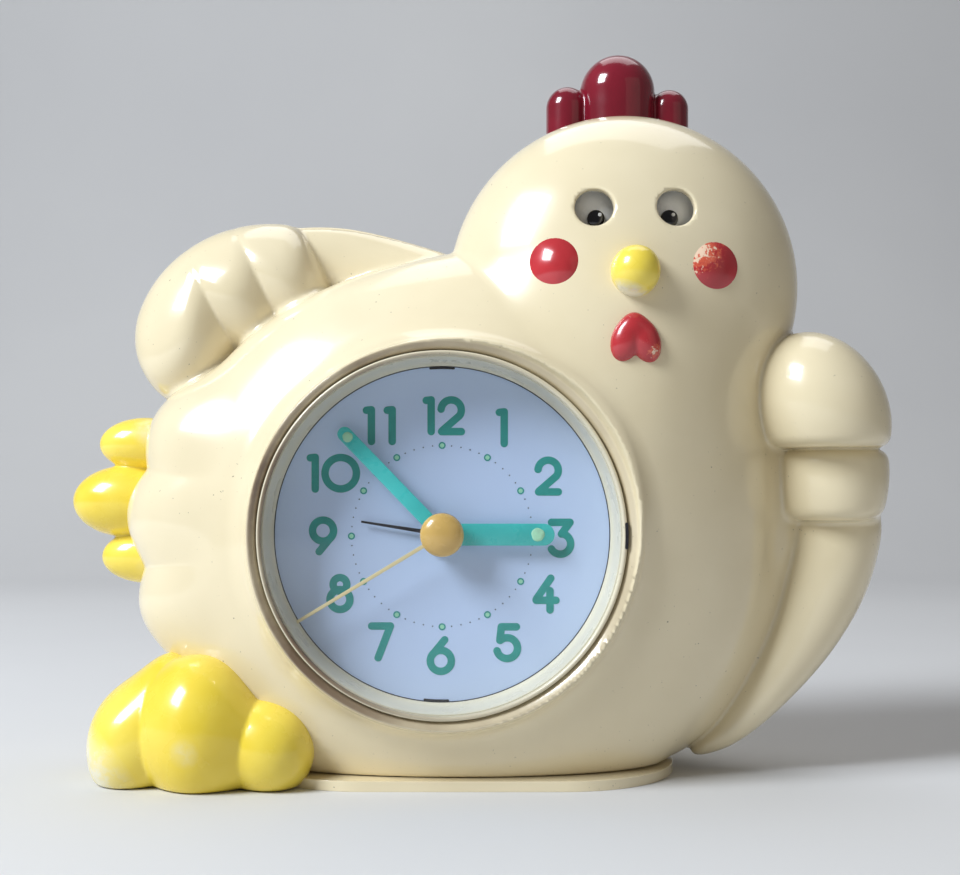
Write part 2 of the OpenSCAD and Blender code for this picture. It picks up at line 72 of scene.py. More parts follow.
# ---- the clock's main measures, in millimetres: X right, Y to the back, Z up ----
lo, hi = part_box("dial")
DX, DZ = (lo.x + hi.x) / 2 / MM, (lo.z + hi.z) / 2 / MM
DIAL_Y = lo.y / MM
WALL, BACK, BASE = 2.4, 24.0, 2.0
FAR = 1e3                                # a distance larger than any in the clock
CHUNK = 200000                           # points worked out at a time
CELL = 0.65      # size of the meshing grid
EDGE = 0.8                               # softness of the moulded edges

# ---- camera: level with the dial's upper half, about 26 cm in front of it ----
cam = bpy.data.objects.new("camera", bpy.data.cameras.new("camera"))
bpy.context.scene.collection.objects.link(cam)
cam.location = (-6.26 * MM, -281.6 * MM, 56.96 * MM)
cam.rotation_euler = (math.pi / 2, 0, 0)
cam.data.sensor_width = 36
cam.data.lens = 50.6
cam.data.shift_x, cam.data.shift_y = 0.029, 0.055
cam.data.clip_start, cam.data.clip_end = 0.01, 20
bpy.context.scene.camera = cam


# ---------------------------------------------------------------- distance fields
def smin(a, b, k):
    """Union of two fields, rounded where they meet by k."""
    h = np.maximum(k - np.abs(a - b), 0) / k
    return np.minimum(a, b) - h * h * k * 0.25


def smax(a, b, k):
    """Intersection of two fields, rounded where they meet by k."""
    return -smin(-a, -b, k)


def egg(P, c, r, depth=0.0, tilt=0.0):
    """Ellipsoid at c with radii r, drawn out towards the back by depth, its top leaning right by tilt."""
    q = P - np.array(c)
    if depth:
        q[:, 1] -= np.clip(q[:, 1], 0, depth)
    if tilt:
        s, co = math.sin(math.radians(tilt)), math.cos(math.radians(tilt))
        q = np.stack([q[:, 0] * co - q[:, 2] * s, q[:, 1], q[:, 0] * s + q[:, 2] * co], 1)
    r = np.array(r)
    k0 = np.linalg.norm(q / r, axis=1)
    k1 = np.linalg.norm(q / (r * r), axis=1)
    return k0 * (k0 - 1) / np.maximum(k1, 1e-6)


def curve(points, n=12):
    """A smooth curve through the points, n steps to a span."""
    p = np.array(points, float)
    p = np.vstack([2 * p[0] - p[1], p, 2 * p[-1] - p[-2]])
    out = []
    for a, b, c, d in zip(p[:-3], p[1:-2], p[2:-1], p[3:]):
        for t in np.arange(n) / n:
            out.append(0.5 * (2 * b + (c - a) * t + (2 * a - 5 * b + 4 * c - d) * t ** 2
                              + (3 * b - a - 3 * c + d) * t ** 3))
    return np.array(out + [p[-2]])


def limb(P, points, k=0.6):
    """Tapering limb through (x, y, z, radius, radius along y): a close row of balls melted together by k."""
    line = curve(points)
    step = np.linalg.norm(np.diff(line[:, :3], axis=0), axis=1)
    step = np.append(step, step[-1])
    total = np.full(len(P), 1e-80)
    for (x, y, z, r, ry), ds in zip(line, step):
        f = r / ry
        e = (np.sqrt((P[:, 0] - x) ** 2 + ((P[:, 1] - y) * f) ** 2 + (P[:, 2] - z) ** 2) - r) / max(f, 1.0)
        total += ds / math.sqrt(2 * math.pi * r * k) * np.exp(np.clip(-e / k, -150, 150))
    return -k * np.log(total)


def rod(P, c, y0, y1, r):
    """Round bar along Y at c = (x, z)."""
    return np.maximum(np.hypot(P[:, 0] - c[0], P[:, 2] - c[1]) - r, np.maximum(y0 - P[:, 1], P[:, 1] - y1))


def box_d(P, low, high):
    """Rough distance to a box, good enough for cuts."""
    m, s = (np.array(low) + high) / 2, (np.array(high) - low) / 2
    return (np.abs(P - m) - s).max(1)


def near(d, P, fn, centre, reach, k):
    """Joins fn's shape onto d, worked out only within reach of its centre."""
    m = (np.abs(P - np.array(centre)) < np.array(reach)).all(1)
    if m.any():
        d[m] = smin(d[m], fn(P[m]), k)
    return d


def packed(fields, k=9.0, full=0.55, crisp=0.5):
    """Joins fields that press on each other: the creases stay crisp, but shallow by the share full."""
    sharp = soft = fields[0]
    for e in fields[1:]:
        sharp, soft = smin(sharp, e, crisp), smin(soft, e, k)
    return sharp * (1 - full) + soft * full


def eggs(P, d, items, k_own, k_join):
    """Joins a cluster of ellipsoids to each other by k_own and onto d by k_join."""
    c = np.array([i[0] for i in items])
    r = np.array([i[1] for i in items])
    margin = 9
    low, high = (c - r).min(0) - margin, (c + r).max(0) + margin
    high[1] += max([i[2] if len(i) > 2 else 0 for i in items])

    def cluster(Q):
        e = np.full(len(Q), FAR)
        for i in items:
            e = smin(e, egg(Q, *i), k_own)
        return e

    return near(d, P, cluster, (low + high) / 2, (high - low) / 2, k_join)


# ellipsoids are (centre, radii, depth, tilt); limbs are rows of (x, y, z, radius, radius along y)
HEAD = ((28.2, -8, 97.4), (35.1, 23, 34.9), 16)
SCALLOPS = [((-56.2, -5, 66), (12.3, 13, 12.4), 8), ((-57.3, -5, 51.9), (15.1, 14, 12.4), 8),
            ((-55.7, -5, 34.5), (13.9, 14, 10.6), 8)]
PUFFS = [((-61.2, 0, 91), (11.4, 12.6, 16.4)), ((-51, 0.5, 98.5), (9.0, 13.4, 15.5), 0, -30),
         ((-41.6, 1, 101.5), (8.8, 12.8, 15.5), 0, -30)]
PUFF_OUTLINE = ((-44, 1, 85.6), (29, 16, 27))
RAISED_ARM = [(-40.5, 1.5, 104.2, 7.6, 5), (-27.8, 1.5, 103.6, 7.8, 5), (-8.6, 1, 97.4, 9, 7)]
BULB = ((66.3, -16.5, 72.8), (12.2, 13.5, 16), 8, -28)
BULB_FOOT = 65.2                         # z of the bulb's lower edge
BAND = ((70, -10, 60.5), (11.1, 12.5, 18), 6)
BAND_Z, BAND_HALF = 58.1, 7.2            # middle and half height of the band
FOLDED_ARM = [(72.2, -6, 50.8, 9.3, 10), (69.8, -6, 39.8, 8.8, 10), (64.6, -6, 28.1, 7.3, 9),
              (56.7, -6, 16.3, 5.1, 8), (49.5, -5.5, 8.1, 3.2, 6), (43.5, -5, 3.9, 1.2, 3)]
WEB = [(61, -3, 47, 6, 7), (55.5, -3, 30, 6, 7.5), (46.5, -2.5, 13, 4, 6.5), (38, -2, 6, 3.5, 5)]
WEB_TOP = [((59, -2, 60), (8.5, 10, 18))]
LEFT_TOE = [((-69.3, -15.5, 6.5), (8.2, 12, 11)), ((-65.8, -15, 13), (6, 10, 12.5), 0, 25)]
TOES = [((-54.6, -20.5, 10.5), (11.4, 12.5, 14.6)), ((-40.8, -21.5, 7.2), (8.1, 9.5, 9.2))]
FEATHERS = [((-70.6, 2, 66.6), (9.6, 6, 5.6)), ((-74.4, 2, 54.7), (11.3, 8, 7.5)),
            ((-70.2, 2, 43.1), (9.5, 6, 5.6))]
FACE_X, EYE_Z, EYE_GAP, EYE_R = 28.1, 110.1, 15.3, 3.6
COMB = [(28.4, 7.8, 148.0), (17.9, 4.4, 141.5), (39.2, 4.1, 140.9)]    # x, radius, top
COMB_Y, COMB_FOOT, COMB_GAP = 2, 122.5, 0.45
COLLAR_R, COLLAR_FRONT = 36.3, -31.95    # inner radius and front face of the collar round the dial


def puffs(P):
    """The rounded end of the raised wing."""
    return smax(packed([egg(P, *i) for i in PUFFS], 4.0, 0.35), egg(P, *PUFF_OUTLINE), 1.2)


def raised_wing(P):
    return smin(puffs(P), limb(P, RAISED_ARM), 0.7)


def cuffs(P):
    """The bulb and the band at the top of the folded wing."""
    bulb = smax(egg(P, *BULB), BULB_FOOT - P[:, 2], 2.4)
    band = smax(egg(P, *BAND), np.abs(P[:, 2] - BAND_Z) - BAND_HALF, 3)
    return smin(bulb, band, 0.6)


def body(P):
    """The outside of the case without the collar and the openings."""
    d = smin(egg(P, (-4.6, -8, 46), (62.5, 25, 57.5), 14), egg(P, (14, -8, 68), (43, 25, 37.5), 14), 9)
    t = np.clip((P[:, 0] + 8) / 42, 0, 1)
    u = np.clip((P[:, 0] - 30) / 30, 0, 1)
    t = t * t * (3 - 2 * t) * (1 - 0.6 * u * u * (3 - 2 * u))
    d = smin(d, egg(P, *HEAD), 0.8 + 14 * t)    # a crisp neck crease at the left, melting away to the right
    d = eggs(P, d, SCALLOPS, 0.5, 7.0)
    d = near(d, P, raised_wing, (-32, 1, 96), (54, 24, 36), 1.8)
    d = eggs(P, d, WEB_TOP, 1.0, 6.0)
    d = near(d, P, lambda Q: limb(Q, WEB), (52, -1, 28), (28, 22, 42), 5.0)
    d = near(d, P, lambda Q: limb(Q, FOLDED_ARM), (62, -4, 26), (36, 22, 44), 1.1)
    return near(d, P, cuffs, (69, -6, 69), (24, 30, 30), 1.3)


def from_dial(P):
    """Distance from the axis of the dial."""
    return np.hypot(P[:, 0] - DX, P[:, 2] - DZ)


def with_collar(P, d):
    """Adds the raised collar round the dial, its inner edge sloping in towards the bezel."""
    r = from_dial(P)
    m = (r < COLLAR_R + 9.7) & (P[:, 1] < -12)
    d[m] = smin(d[m], smax(r[m] - COLLAR_R, COLLAR_FRONT - P[m, 1], 1.2), 5.5)
    inward = COLLAR_R - r[m]
    slope = np.minimum(inward * 0.65, inward * 2.5)
    d[m] = smax(d[m], (slope + COLLAR_FRONT - P[m, 1]) * 0.6, 0.35)
    return d


def comb_hole(P):
    """The opening in the head that the comb moves in."""
    plan = np.minimum.reduce([np.hypot(P[:, 0] - x, P[:, 1] - COMB_Y) - r - COMB_GAP for x, r, _ in COMB])
    return np.maximum(plan, 118 - P[:, 2])


def hollow(P):
    """The case as one closed wall, with the rim round the dial left solid."""
    b = body(P)
    inside = np.maximum(b + WALL, P[:, 1] - (BACK - WALL))
    rim = np.maximum(from_dial(P) - 38, P[:, 1] + 28.5)
    inside = np.maximum(inside, -rim)
    return smax(with_collar(P, b.copy()), -inside, 0.5)


def front_case(P):
    d = hollow(P)
    d = smax(d, 34.6 - from_dial(P), EDGE)
    for s in (-1, 1):
        d = smax(d, -rod(P, (FACE_X + s * EYE_GAP / 2, EYE_Z), -60, -18, EYE_R), 0.65)
    d = smax(d, -comb_hole(P), 0.6)
    d = smax(d, P[:, 1] + 0.05, EDGE)
    return smax(d, BASE + 0.05 - P[:, 2], EDGE)


SCREWS = [(-45, 30), (-40, 76), (31, 28), (53, 90)]
KNOBS = [((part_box(n)[0].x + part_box(n)[1].x) / 2 / MM, (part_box(n)[0].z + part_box(n)[1].z) / 2 / MM)
         for n in ("time_knob", "alarm_knob")]
DOOR, DOOR_HALF = (-4.6, 27.0), (28.4, 9.9)
SWITCH, SWITCH_HALF = (19.0, 66.0), (5, 2.4)


def window_cut(P, centre, half):
    """A rectangular hole through the back, from (x, z) and half its width and height."""
    low = (centre[0] - half[0], 15, centre[1] - half[1])
    return box_d(P, low, (centre[0] + half[0], 60, centre[1] + half[1]))


def rear_case(P):
    d = smax(hollow(P), P[:, 1] - BACK, 2.0)
    b = body(P) + 1
    extra = np.full(len(P), FAR)
    for c in SCREWS:
        extra = np.minimum(extra, rod(P, c, 0, BACK - 1, 4.6))
    for c in KNOBS:
        extra = np.minimum(extra, rod(P, c, 14.8, BACK - 1, 9.4))
    d = smin(d, np.maximum(extra, b), 0.8)
    for c in SCREWS:
        d = smax(d, -np.minimum(rod(P, c, 9, 60, 3.3), rod(P, c, -9, 60, 1.9)), 0.5)
    for c in KNOBS:
        d = smax(d, -np.minimum(rod(P, c, 17, 60, 7), rod(P, c, 9, 60, 2.1)), 0.6)
    for i in range(-2, 3):               # five sound slots, the outer ones shorter
        w = 12 - abs(i) * 2
        z = HEAD[0][2] + i * 5
        d = smax(d, -box_d(P, (FACE_X - w, 18, z - 1), (FACE_X + w, 60, z + 1)), 0.6)
    d = smax(d, -window_cut(P, DOOR, DOOR_HALF), 0.5)
    d = smax(d, -window_cut(P, SWITCH, SWITCH_HALF), 0.5)
    d = smax(d, -comb_hole(P), 0.6)
    d = smax(d, 0.05 - P[:, 1], EDGE)
    return smax(d, BASE + 0.05 - P[:, 2], EDGE)


def outside_body(P, d, sink):
    """Keeps the part of d that stands out of the body, sunk into the wall by sink."""
    return np.maximum(d, -(body(P) + sink))


def front_y(x, z):
    """y of the body's front skin behind the point (x, z)."""
    a, b = -60.0, -8.0
    for _ in range(30):
        m = (a + b) / 2
        a, b = (m, b) if body(np.array([[x, m, z]]))[0] > 0 else (a, m)
    return a


def foot_shape(P):
    left = smin(egg(P, *LEFT_TOE[0]), egg(P, *LEFT_TOE[1]), 7.0)
    d = packed([left] + [egg(P, *toe) for toe in TOES], 7.0)
    return smax(outside_body(P, d, 0.8), 0.02 - P[:, 2], EDGE)


def tail_shape(P):
    return outside_body(P, eggs(P, np.full(len(P), FAR), FEATHERS, 0.8, 0.8), 0.8)


BEAK = (27.6, front_y(27.6, 97.5), 97.5)
CHEEKS = [(x, front_y(x, z), z) for x, z in ((12.8, 99.9), (43.1, 99.1))]
WATTLE_Y = front_y(27.5, 85)


def beak_shape(P):
    d = egg(P, (BEAK[0], BEAK[1] - 1.6, BEAK[2]), (4.45, 4.4, 4.6))
    return outside_body(P, smin(d, egg(P, BEAK, (4.3, 3.0, 4.6)), 1.2), 0.5)


def wattle_shape(P):
    d = smin(egg(P, (26.0, WATTLE_Y + 0.4, 84.9), (2.9, 2.3, 4.5), 0, 21),
             egg(P, (29.2, WATTLE_Y + 0.4, 84.7), (2.9, 2.3, 4.4), 0, -21), 0.5)
    d = smin(d, egg(P, (27.4, WATTLE_Y + 0.5, 87.2), (2.2, 2.0, 2.6)), 1.0)
    return outside_body(P, d, 0.5)


def cheek_shape(P):
    """Round domes that follow the face, 1.25 mm proud in the middle."""
    r = np.minimum(*[np.hypot(P[:, 0] - x, P[:, 2] - z) for x, _, z in CHEEKS])
    b = body(P)
    return np.maximum(np.maximum(b - 1.25 * (1 - (r / 4.45) ** 2), P[:, 1] + 15), -(b + 0.4))


def comb_shape(P):
    d = np.full(len(P), FAR)
    for x, r, top in COMB:
        q = P - np.array((x, COMB_Y, top - r))
        q[:, 2] = np.where(q[:, 2] < 0, 0, q[:, 2])
        d = smin(d, np.linalg.norm(q, axis=1) - r, 0.7)
    foot = box_d(P, (12.5, -4.5, COMB_FOOT), (44.2, 8.5, COMB_FOOT + 2))
    d = smin(d, foot, 0.6)
    d = smax(d, COMB_FOOT - P[:, 2], 0.4)
    spring_seat = np.maximum(np.hypot(P[:, 0] - COMB[0][0], P[:, 1] - COMB_Y) - 4, P[:, 2] - 128)
    return smax(d, -spring_seat, 0.4)


def surface(field, low, high, h):
    """Closed mesh of field = 0 in a box, by surface nets on a grid of size h, then moved onto the surface.

    The field is worked out on coarse blocks of n cells first, and finely only where the surface may be."""
    n = 4
    low = np.array(low, float)
    blocks = np.ceil((np.array(high) - low) / (h * n)).astype(int)
    axes = [low[i] + np.arange(blocks[i] + 1) * h * n for i in range(3)]
    G = np.stack(np.meshgrid(*axes, indexing="ij"), -1).reshape(-1, 3)
    C = np.concatenate([field(g) for g in np.array_split(G, max(1, len(G) // CHUNK))]).reshape(blocks + 1)
    cube = [(i, j, k) for i in (0, 1) for j in (0, 1) for k in (0, 1)]
    corners = [C[i:C.shape[0] - 1 + i, j:C.shape[1] - 1 + j, k:C.shape[2] - 1 + k] for i, j, k in cube]
    keep = np.minimum.reduce([np.abs(c) for c in corners]) < h * n * 1.3
    big = keep.repeat(n, 0).repeat(n, 1).repeat(n, 2)
    sign = np.sign(corners[0]).repeat(n, 0).repeat(n, 1).repeat(n, 2)
    D = np.pad(sign * 9.0, ((0, 1),) * 3, mode="edge").astype(np.float32)
    M = np.zeros(D.shape, bool)
    for i, j, k in cube:
        M[i:big.shape[0] + i, j:big.shape[1] + j, k:big.shape[2] + k] |= big
    at = np.argwhere(M)
    D[M] = np.concatenate([field(low + a * h) for a in np.array_split(at, max(1, len(at) // CHUNK))])
    S = D < 0
    view = [S[i:S.shape[0] - 1 + i, j:S.shape[1] - 1 + j, k:S.shape[2] - 1 + k] for i, j, k in cube]
    cell = np.logical_or.reduce(view) & ~np.logical_and.reduce(view)
    ijk = np.argwhere(cell)
    index = np.full(cell.shape, -1, np.int64)
    index[cell] = np.arange(len(ijk))
    V = np.stack([D[tuple((ijk + c).T)] for c in cube], 1)
    total, count = np.zeros((len(ijk), 3)), np.zeros(len(ijk))
    for a in range(8):
        for b in range(a + 1, 8):
            step = np.array(cube[b]) - cube[a]
            if np.abs(step).sum() == 1:
                m = (V[:, a] < 0) != (V[:, b] < 0)
                t = V[m, a] / (V[m, a] - V[m, b])
                total[m] += np.array(cube[a]) + t[:, None] * step
                count[m] += 1
    verts = low + (ijk + total / count[:, None]) * h
    quads = []
    for ax in range(3):
        u, v = (ax + 1) % 3, (ax + 2) % 3
        a = S.take(range(S.shape[ax] - 1), ax)
        b = S.take(range(1, S.shape[ax]), ax)
        e = np.argwhere(a != b)
        e = e[(e[:, u] > 0) & (e[:, v] > 0) & (e[:, u] < cell.shape[u]) & (e[:, v] < cell.shape[v])]
        du, dv = np.eye(3, dtype=int)[u], np.eye(3, dtype=int)[v]
        q = np.stack([index[tuple((e - s).T)] for s in (du + dv, dv, 0 * du, du)], 1)
        flip = ~S[tuple(e.T)]
        q[flip] = q[flip][:, ::-1]
        quads.append(q)
    quads = np.concatenate(quads)
    for _ in range(2):
        value, g = gradient(field, verts)
        verts -= g * np.clip(value, -h, h)[:, None] * 0.9
    _, g = gradient(field, verts)
    return verts, quads, g


def gradient(field, P, e=0.12):
    """Distance to the surface and the unit normal at each point, from four samples e away."""
    k = np.array([(1, -1, -1), (-1, -1, 1), (-1, 1, -1), (1, 1, 1)], float)
    out, values = np.zeros_like(P), np.zeros(len(P))
    for s in np.array_split(np.arange(len(P)), max(1, len(P) // CHUNK)):
        f = [field(P[s] + c * e) for c in k]
        out[s] = sum(v[:, None] * c for v, c in zip(f, k))
        values[s] = sum(f) / 4
    length = np.linalg.norm(out, axis=1, keepdims=True)
    return values / np.maximum(length[:, 0] / (4 * e), 0.3), out / np.maximum(length, 1e-9)


# ---------------------------------------------------------------- mesh helpers
def add(name, verts, faces, body_name, material, smooth=True, normals=None, replaces=()):
    """A piece from millimetre points, riding on a body."""
    mesh = bpy.data.meshes.new(name)
    mesh.from_pydata((np.asarray(verts, float) * MM).tolist(), [], [list(map(int, f)) for f in faces])
    mesh.validate()
    mesh.materials.append(material)
    if smooth:
        mesh.shade_smooth()
    else:
        mesh.shade_flat()
    if normals is not None and len(normals) == len(mesh.vertices):
        mesh.normals_split_custom_set_from_vertices(normals.tolist())
    obj = bpy.data.objects.new(name, mesh)
    bpy.context.scene.collection.objects.link(obj)
    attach(obj, body_name)
    if replaces:
        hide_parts(*replaces)
    return obj


def moulded(name, field, low, high, h, body_name, material, replaces):
    verts, quads, normals = surface(field, low, high, h)
    return add(name, verts, quads, body_name, material, True, normals, replaces)


def by_angle(obj, degrees=32):
    for p in obj.data.polygons:
        p.use_smooth = True
    obj.data.set_sharp_from_angle(angle=math.radians(degrees))


def lathe(profile, centre, n=160, closed=False):
    """Turns (radius, y) points round the axis along Y through centre (x, z)."""
    verts, faces, m = [], [], len(profile)
    for i in range(n):
        a = 2 * math.pi * i / n
        verts += [(centre[0] + r * math.cos(a), y, centre[1] + r * math.sin(a)) for r, y in profile]
    for i in range(n):
        j = (i + 1) % n
        for k in range(m if closed else m - 1):
            l = (k + 1) % m
            faces.append((i * m + k, j * m + k, j * m + l, i * m + l))
    return verts, faces


def washer(inner, outer, back, front):
    """Profile of a thin flat ring, or of a disc where inner is 0, from y = back to y = front."""
    return [(inner, back), (outer, back), (outer, front), (inner, front)]


def tidy_up(obj, merge=0.002):
    """Merges doubled points, drops empty faces and turns the faces outwards."""
    bm = bmesh.new()
    bm.from_mesh(obj.data)
    bmesh.ops.remove_doubles(bm, verts=bm.verts, dist=merge * MM)
    bmesh.ops.dissolve_degenerate(bm, edges=bm.edges, dist=merge * MM / 4)
    bmesh.ops.recalc_face_normals(bm, faces=bm.faces)
    bm.to_mesh(obj.data)
    bm.free()


def turned_piece(name, profile, centre, steps, closed, angle, body_name, material, replaces=()):
    """A piece turned from a profile, with sharp edges where faces meet at more than angle degrees."""
    verts, faces = lathe(profile, centre, steps, closed)
    obj = add(name, verts, faces, body_name, material, True, None, replaces)
    tidy_up(obj)
    if angle:
        by_angle(obj, angle)


def plate(outline, layers):
    """Closed plate: outline(inset) gives (x, z) points, layers are (inset, y) from back to front."""
    verts, faces = [], []
    for inset, y in layers:
        verts += [(x, y, z) for x, z in outline(inset)]
    n = len(outline(0))
    for k in range(len(layers) - 1):
        for i in range(n):
            j = (i + 1) % n
            faces.append((k * n + i, k * n + j, (k + 1) * n + j, (k + 1) * n + i))
    faces.append(tuple(range(n)))
    faces.append(tuple(range((len(layers) - 1) * n, len(layers) * n)))
    return verts, faces


def softened(node, width, material, segments=3):
    """A copy of a CAD node with its edges rounded."""
    src = frame["nodes"][node]
    obj = bpy.data.objects.new(node + "_soft", src.data.copy())
    bpy.context.scene.collection.objects.link(obj)
    obj.data.materials.clear()
    obj.data.materials.append(material)
    tidy_up(obj, 0.01)
    bm = bmesh.new()
    bm.from_mesh(obj.data)
    bmesh.ops.dissolve_limit(bm, angle_limit=math.radians(1), verts=bm.verts, edges=bm.edges)
    bm.to_mesh(obj.data)
    bm.free()
    by_angle(obj, 40)
    bevel = obj.modifiers.new("round", "BEVEL")
    bevel.width, bevel.segments, bevel.limit_method = width * MM, segments, "ANGLE"
    bevel.angle_limit = math.radians(40)
    bevel.harden_normals = True
    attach(obj, src["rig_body"])
    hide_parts(node)


# ---------------------------------------------------------------- materials
class Nodes:
    """Short names for building one procedural material."""

    def __init__(self, name):
        self.mat = bpy.data.materials.new(name)
        self.mat.use_nodes = True
        self.tree = self.mat.node_tree
        self.shader = self.tree.nodes["Principled BSDF"]
        self.coord = self.tree.nodes.new("ShaderNodeTexCoord").outputs["Object"]

    def link(self, a, b):
        self.tree.links.new(a, b)

    def noise(self, scale, detail=3.0, rough=0.55, stretch=None):
        n = self.tree.nodes.new("ShaderNodeTexNoise")
        n.inputs["Scale"].default_value = scale
        n.inputs["Detail"].default_value = detail
        n.inputs["Roughness"].default_value = rough
        source = self.coord
        if stretch:
            m = self.tree.nodes.new("ShaderNodeMapping")
            m.inputs["Scale"].default_value = stretch
            self.link(self.coord, m.inputs["Vector"])
            source = m.outputs["Vector"]
        self.link(source, n.inputs["Vector"])
        return n.outputs["Fac"]

    def range(self, value, a, b, c=0.0, d=1.0):
        n = self.tree.nodes.new("ShaderNodeMapRange")
        for i, v in zip(("From Min", "From Max", "To Min", "To Max"), (a, b, c, d)):
            n.inputs[i].default_value = v
        self.link(value, n.inputs["Value"])
        return n.outputs["Result"]

    def math(self, op, a, b=None):
        n = self.tree.nodes.new("ShaderNodeMath")
        n.operation = op
        for i, v in enumerate((a, b)):
            if v is None:
                continue
            if isinstance(v, (int, float)):
                n.inputs[i].default_value = v
            else:
                self.link(v, n.inputs[i])
        return n.outputs[0]

    def axis(self, name):
        n = self.tree.nodes.new("ShaderNodeSeparateXYZ")
        self.link(self.coord, n.inputs[0])
        return n.outputs[name]

    def distance(self, point):
        n = self.tree.nodes.new("ShaderNodeVectorMath")
        n.operation = "DISTANCE"
        self.link(self.coord, n.inputs[0])
        n.inputs[1].default_value = [c * MM for c in point]
        return n.outputs["Value"]

    def mix(self, factor, a, b):
        n = self.tree.nodes.new("ShaderNodeMix")
        n.data_type = "RGBA"
        self.link(factor, n.inputs[0])
        for i, v in ((6, a), (7, b)):
            if isinstance(v, (tuple, list)):
                n.inputs[i].default_value = (*v, 1)
            else:
                self.link(v, n.inputs[i])
        return n.outputs[2]

    def colour(self, v):
        if isinstance(v, (tuple, list)):
            self.shader.inputs["Base Color"].default_value = (*v, 1)
        else:
            self.link(v, self.shader.inputs["Base Color"])

    def bump(self, height, strength, distance):
        n = self.tree.nodes.new("ShaderNodeBump")
        n.inputs["Strength"].default_value = strength
        n.inputs["Distance"].default_value = distance * MM
        self.link(height, n.inputs["Height"])
        self.link(n.outputs["Normal"], self.shader.inputs["Normal"])

    def set(self, **values):
        for k, v in values.items():
            self.shader.inputs[k.replace("_", " ")].default_value = v


def shade(c, f):
    """Colour c made lighter or darker by the factor f."""
    return tuple(min(1.0, x * f) for x in c)


def surface_material(name, base, rough=0.3, vary=0.12, scale=45, bump=0.15, grain=900, depth=0.05,
                     coat=0.0, metal=0.0, specks=0.0, stretch=None, tint=None):
    """Plastic, paint or metal with blotchy colour, uneven gloss, fine grain and, if asked, dirt specks."""
    n = Nodes(name)
    wide = n.noise(scale, 4)
    c = n.mix(n.range(wide, 0.3, 0.7), shade(base, 1 - vary), tint or shade(base, 1 + vary * 0.5))
    if specks:
        spot = n.range(n.noise(1700, 1, 0.5), 0.765, 0.785)
        spot = n.math("MULTIPLY", spot, n.range(n.noise(90, 2), 0.4, 0.65, 0, specks))
        c = n.mix(spot, c, shade(base, 0.25))
    n.colour(c)
    r = n.range(n.noise(scale * 2.3, 5), 0.3, 0.7, rough * 0.75, rough * 1.3)
    n.link(r, n.shader.inputs["Roughness"])
    n.bump(n.noise(grain, 3, 0.6, stretch), bump, depth)
    n.set(Metallic=metal)
    if coat:
        n.set(Coat_Weight=coat, Coat_Roughness=0.06)
    return n


CREAM = (0.80, 0.69, 0.45)
cream_n = surface_material("cream_moulding", CREAM, 0.2, 0.05, 22, 0.12, 420, 0.05, 0.55, specks=0.8,
                           tint=(0.86, 0.76, 0.53))


def painted_shade_and_dirt(n, outer, inner, depth, right):
    """Painted shade with some real dirt in the groove round the bezel: brown, uneven, full on the left side
    and down to the share right on the lit right side.
    """
    flat = n.tree.nodes.new("ShaderNodeVectorMath")
    flat.operation = "MULTIPLY"
    n.link(n.coord, flat.inputs[0])
    flat.inputs[1].default_value = (1, 0, 1)
    away = n.tree.nodes.new("ShaderNodeVectorMath")
    away.operation = "DISTANCE"
    n.link(flat.outputs[0], away.inputs[0])
    away.inputs[1].default_value = (DX * MM, 0, DZ * MM)
    near_rim = n.range(away.outputs["Value"], outer * MM, inner * MM)
    forward = n.range(n.axis("Y"), -29.5 * MM, depth * MM)
    # the painted shade is full on the left, where the groove faces away from the window lamp
    side = n.range(n.axis("X"), (DX + 22) * MM, (DX - 24) * MM, right, 1)
    uneven = n.range(n.noise(60, 4), 0.35, 0.6, 0.55, 1.0)
    mask = n.math("MULTIPLY", n.math("MULTIPLY", near_rim, forward), uneven)
    mask = n.math("MULTIPLY", mask, side)
    old = n.shader.inputs["Base Color"].links[0].from_socket
    # the brown of the painted shade and dirt
    n.colour(n.mix(mask, old, (0.20, 0.135, 0.085)))


# painted shade with some dirt on the collar's inner edge, darkest on the left, away from the window lamp
painted_shade_and_dirt(cream_n, 36.5, 36.0, -30.6, 0.35)
cream = cream_n.mat

ring_n = surface_material("bezel_plastic", (0.76, 0.70, 0.52), 0.3, 0.08, 60, 0.1, 700, 0.03, 0.3, specks=0.5)
# painted shade on the inner slope of the bezel's crest, nearly all of it on the left
painted_shade_and_dirt(ring_n, 34.3, 34.1, -30.8, 0.1)
ring_mat = ring_n.mat


def yellow_material(name, worn):
    """Yellow paint, worn to a pale tone round the points in worn: (point, inner, outer, amount)."""
    n = Nodes(name)
    c = n.mix(n.range(n.noise(55, 4), 0.3, 0.7), (0.86, 0.65, 0.05), (0.95, 0.77, 0.12))
    patch = n.range(n.noise(330, 5, 0.65), 0.42, 0.60)
    for point, inner, outer, amount in worn:
        near_it = n.range(n.distance(point), inner * MM, outer * MM, amount, 0)
        mask = n.math("MULTIPLY", near_it, n.math("ADD", n.math("MULTIPLY", patch, 0.6), 0.5))
        c = n.mix(n.math("MINIMUM", mask, 1.0), c, (0.82, 0.78, 0.58))
    n.colour(c)
    n.link(n.range(n.noise(120, 4), 0.3, 0.7, 0.16, 0.34), n.shader.inputs["Roughness"])
    n.bump(n.noise(500, 3, 0.6), 0.15, 0.05)
    n.set(Coat_Weight=0.5, Coat_Roughness=0.08)
    return n.mat


foot_mat = yellow_material("foot_paint", [((-75, -22, 2), 4, 10, 1.1), ((-56, -34, 8), 0.5, 3.5, 0.5),
                                          ((-60, -28, 26), 0.5, 4, 0.5)])
tail_mat = yellow_material("tail_paint", [((-68, -3, 70), 1, 5, 0.7), ((-68, -4, 40), 1, 4, 0.3)])
beak_mat = yellow_material("beak_paint", [((BEAK[0] - 1.5, BEAK[1] - 2, BEAK[2] - 4.4), 1.6, 3.8, 1.6)])


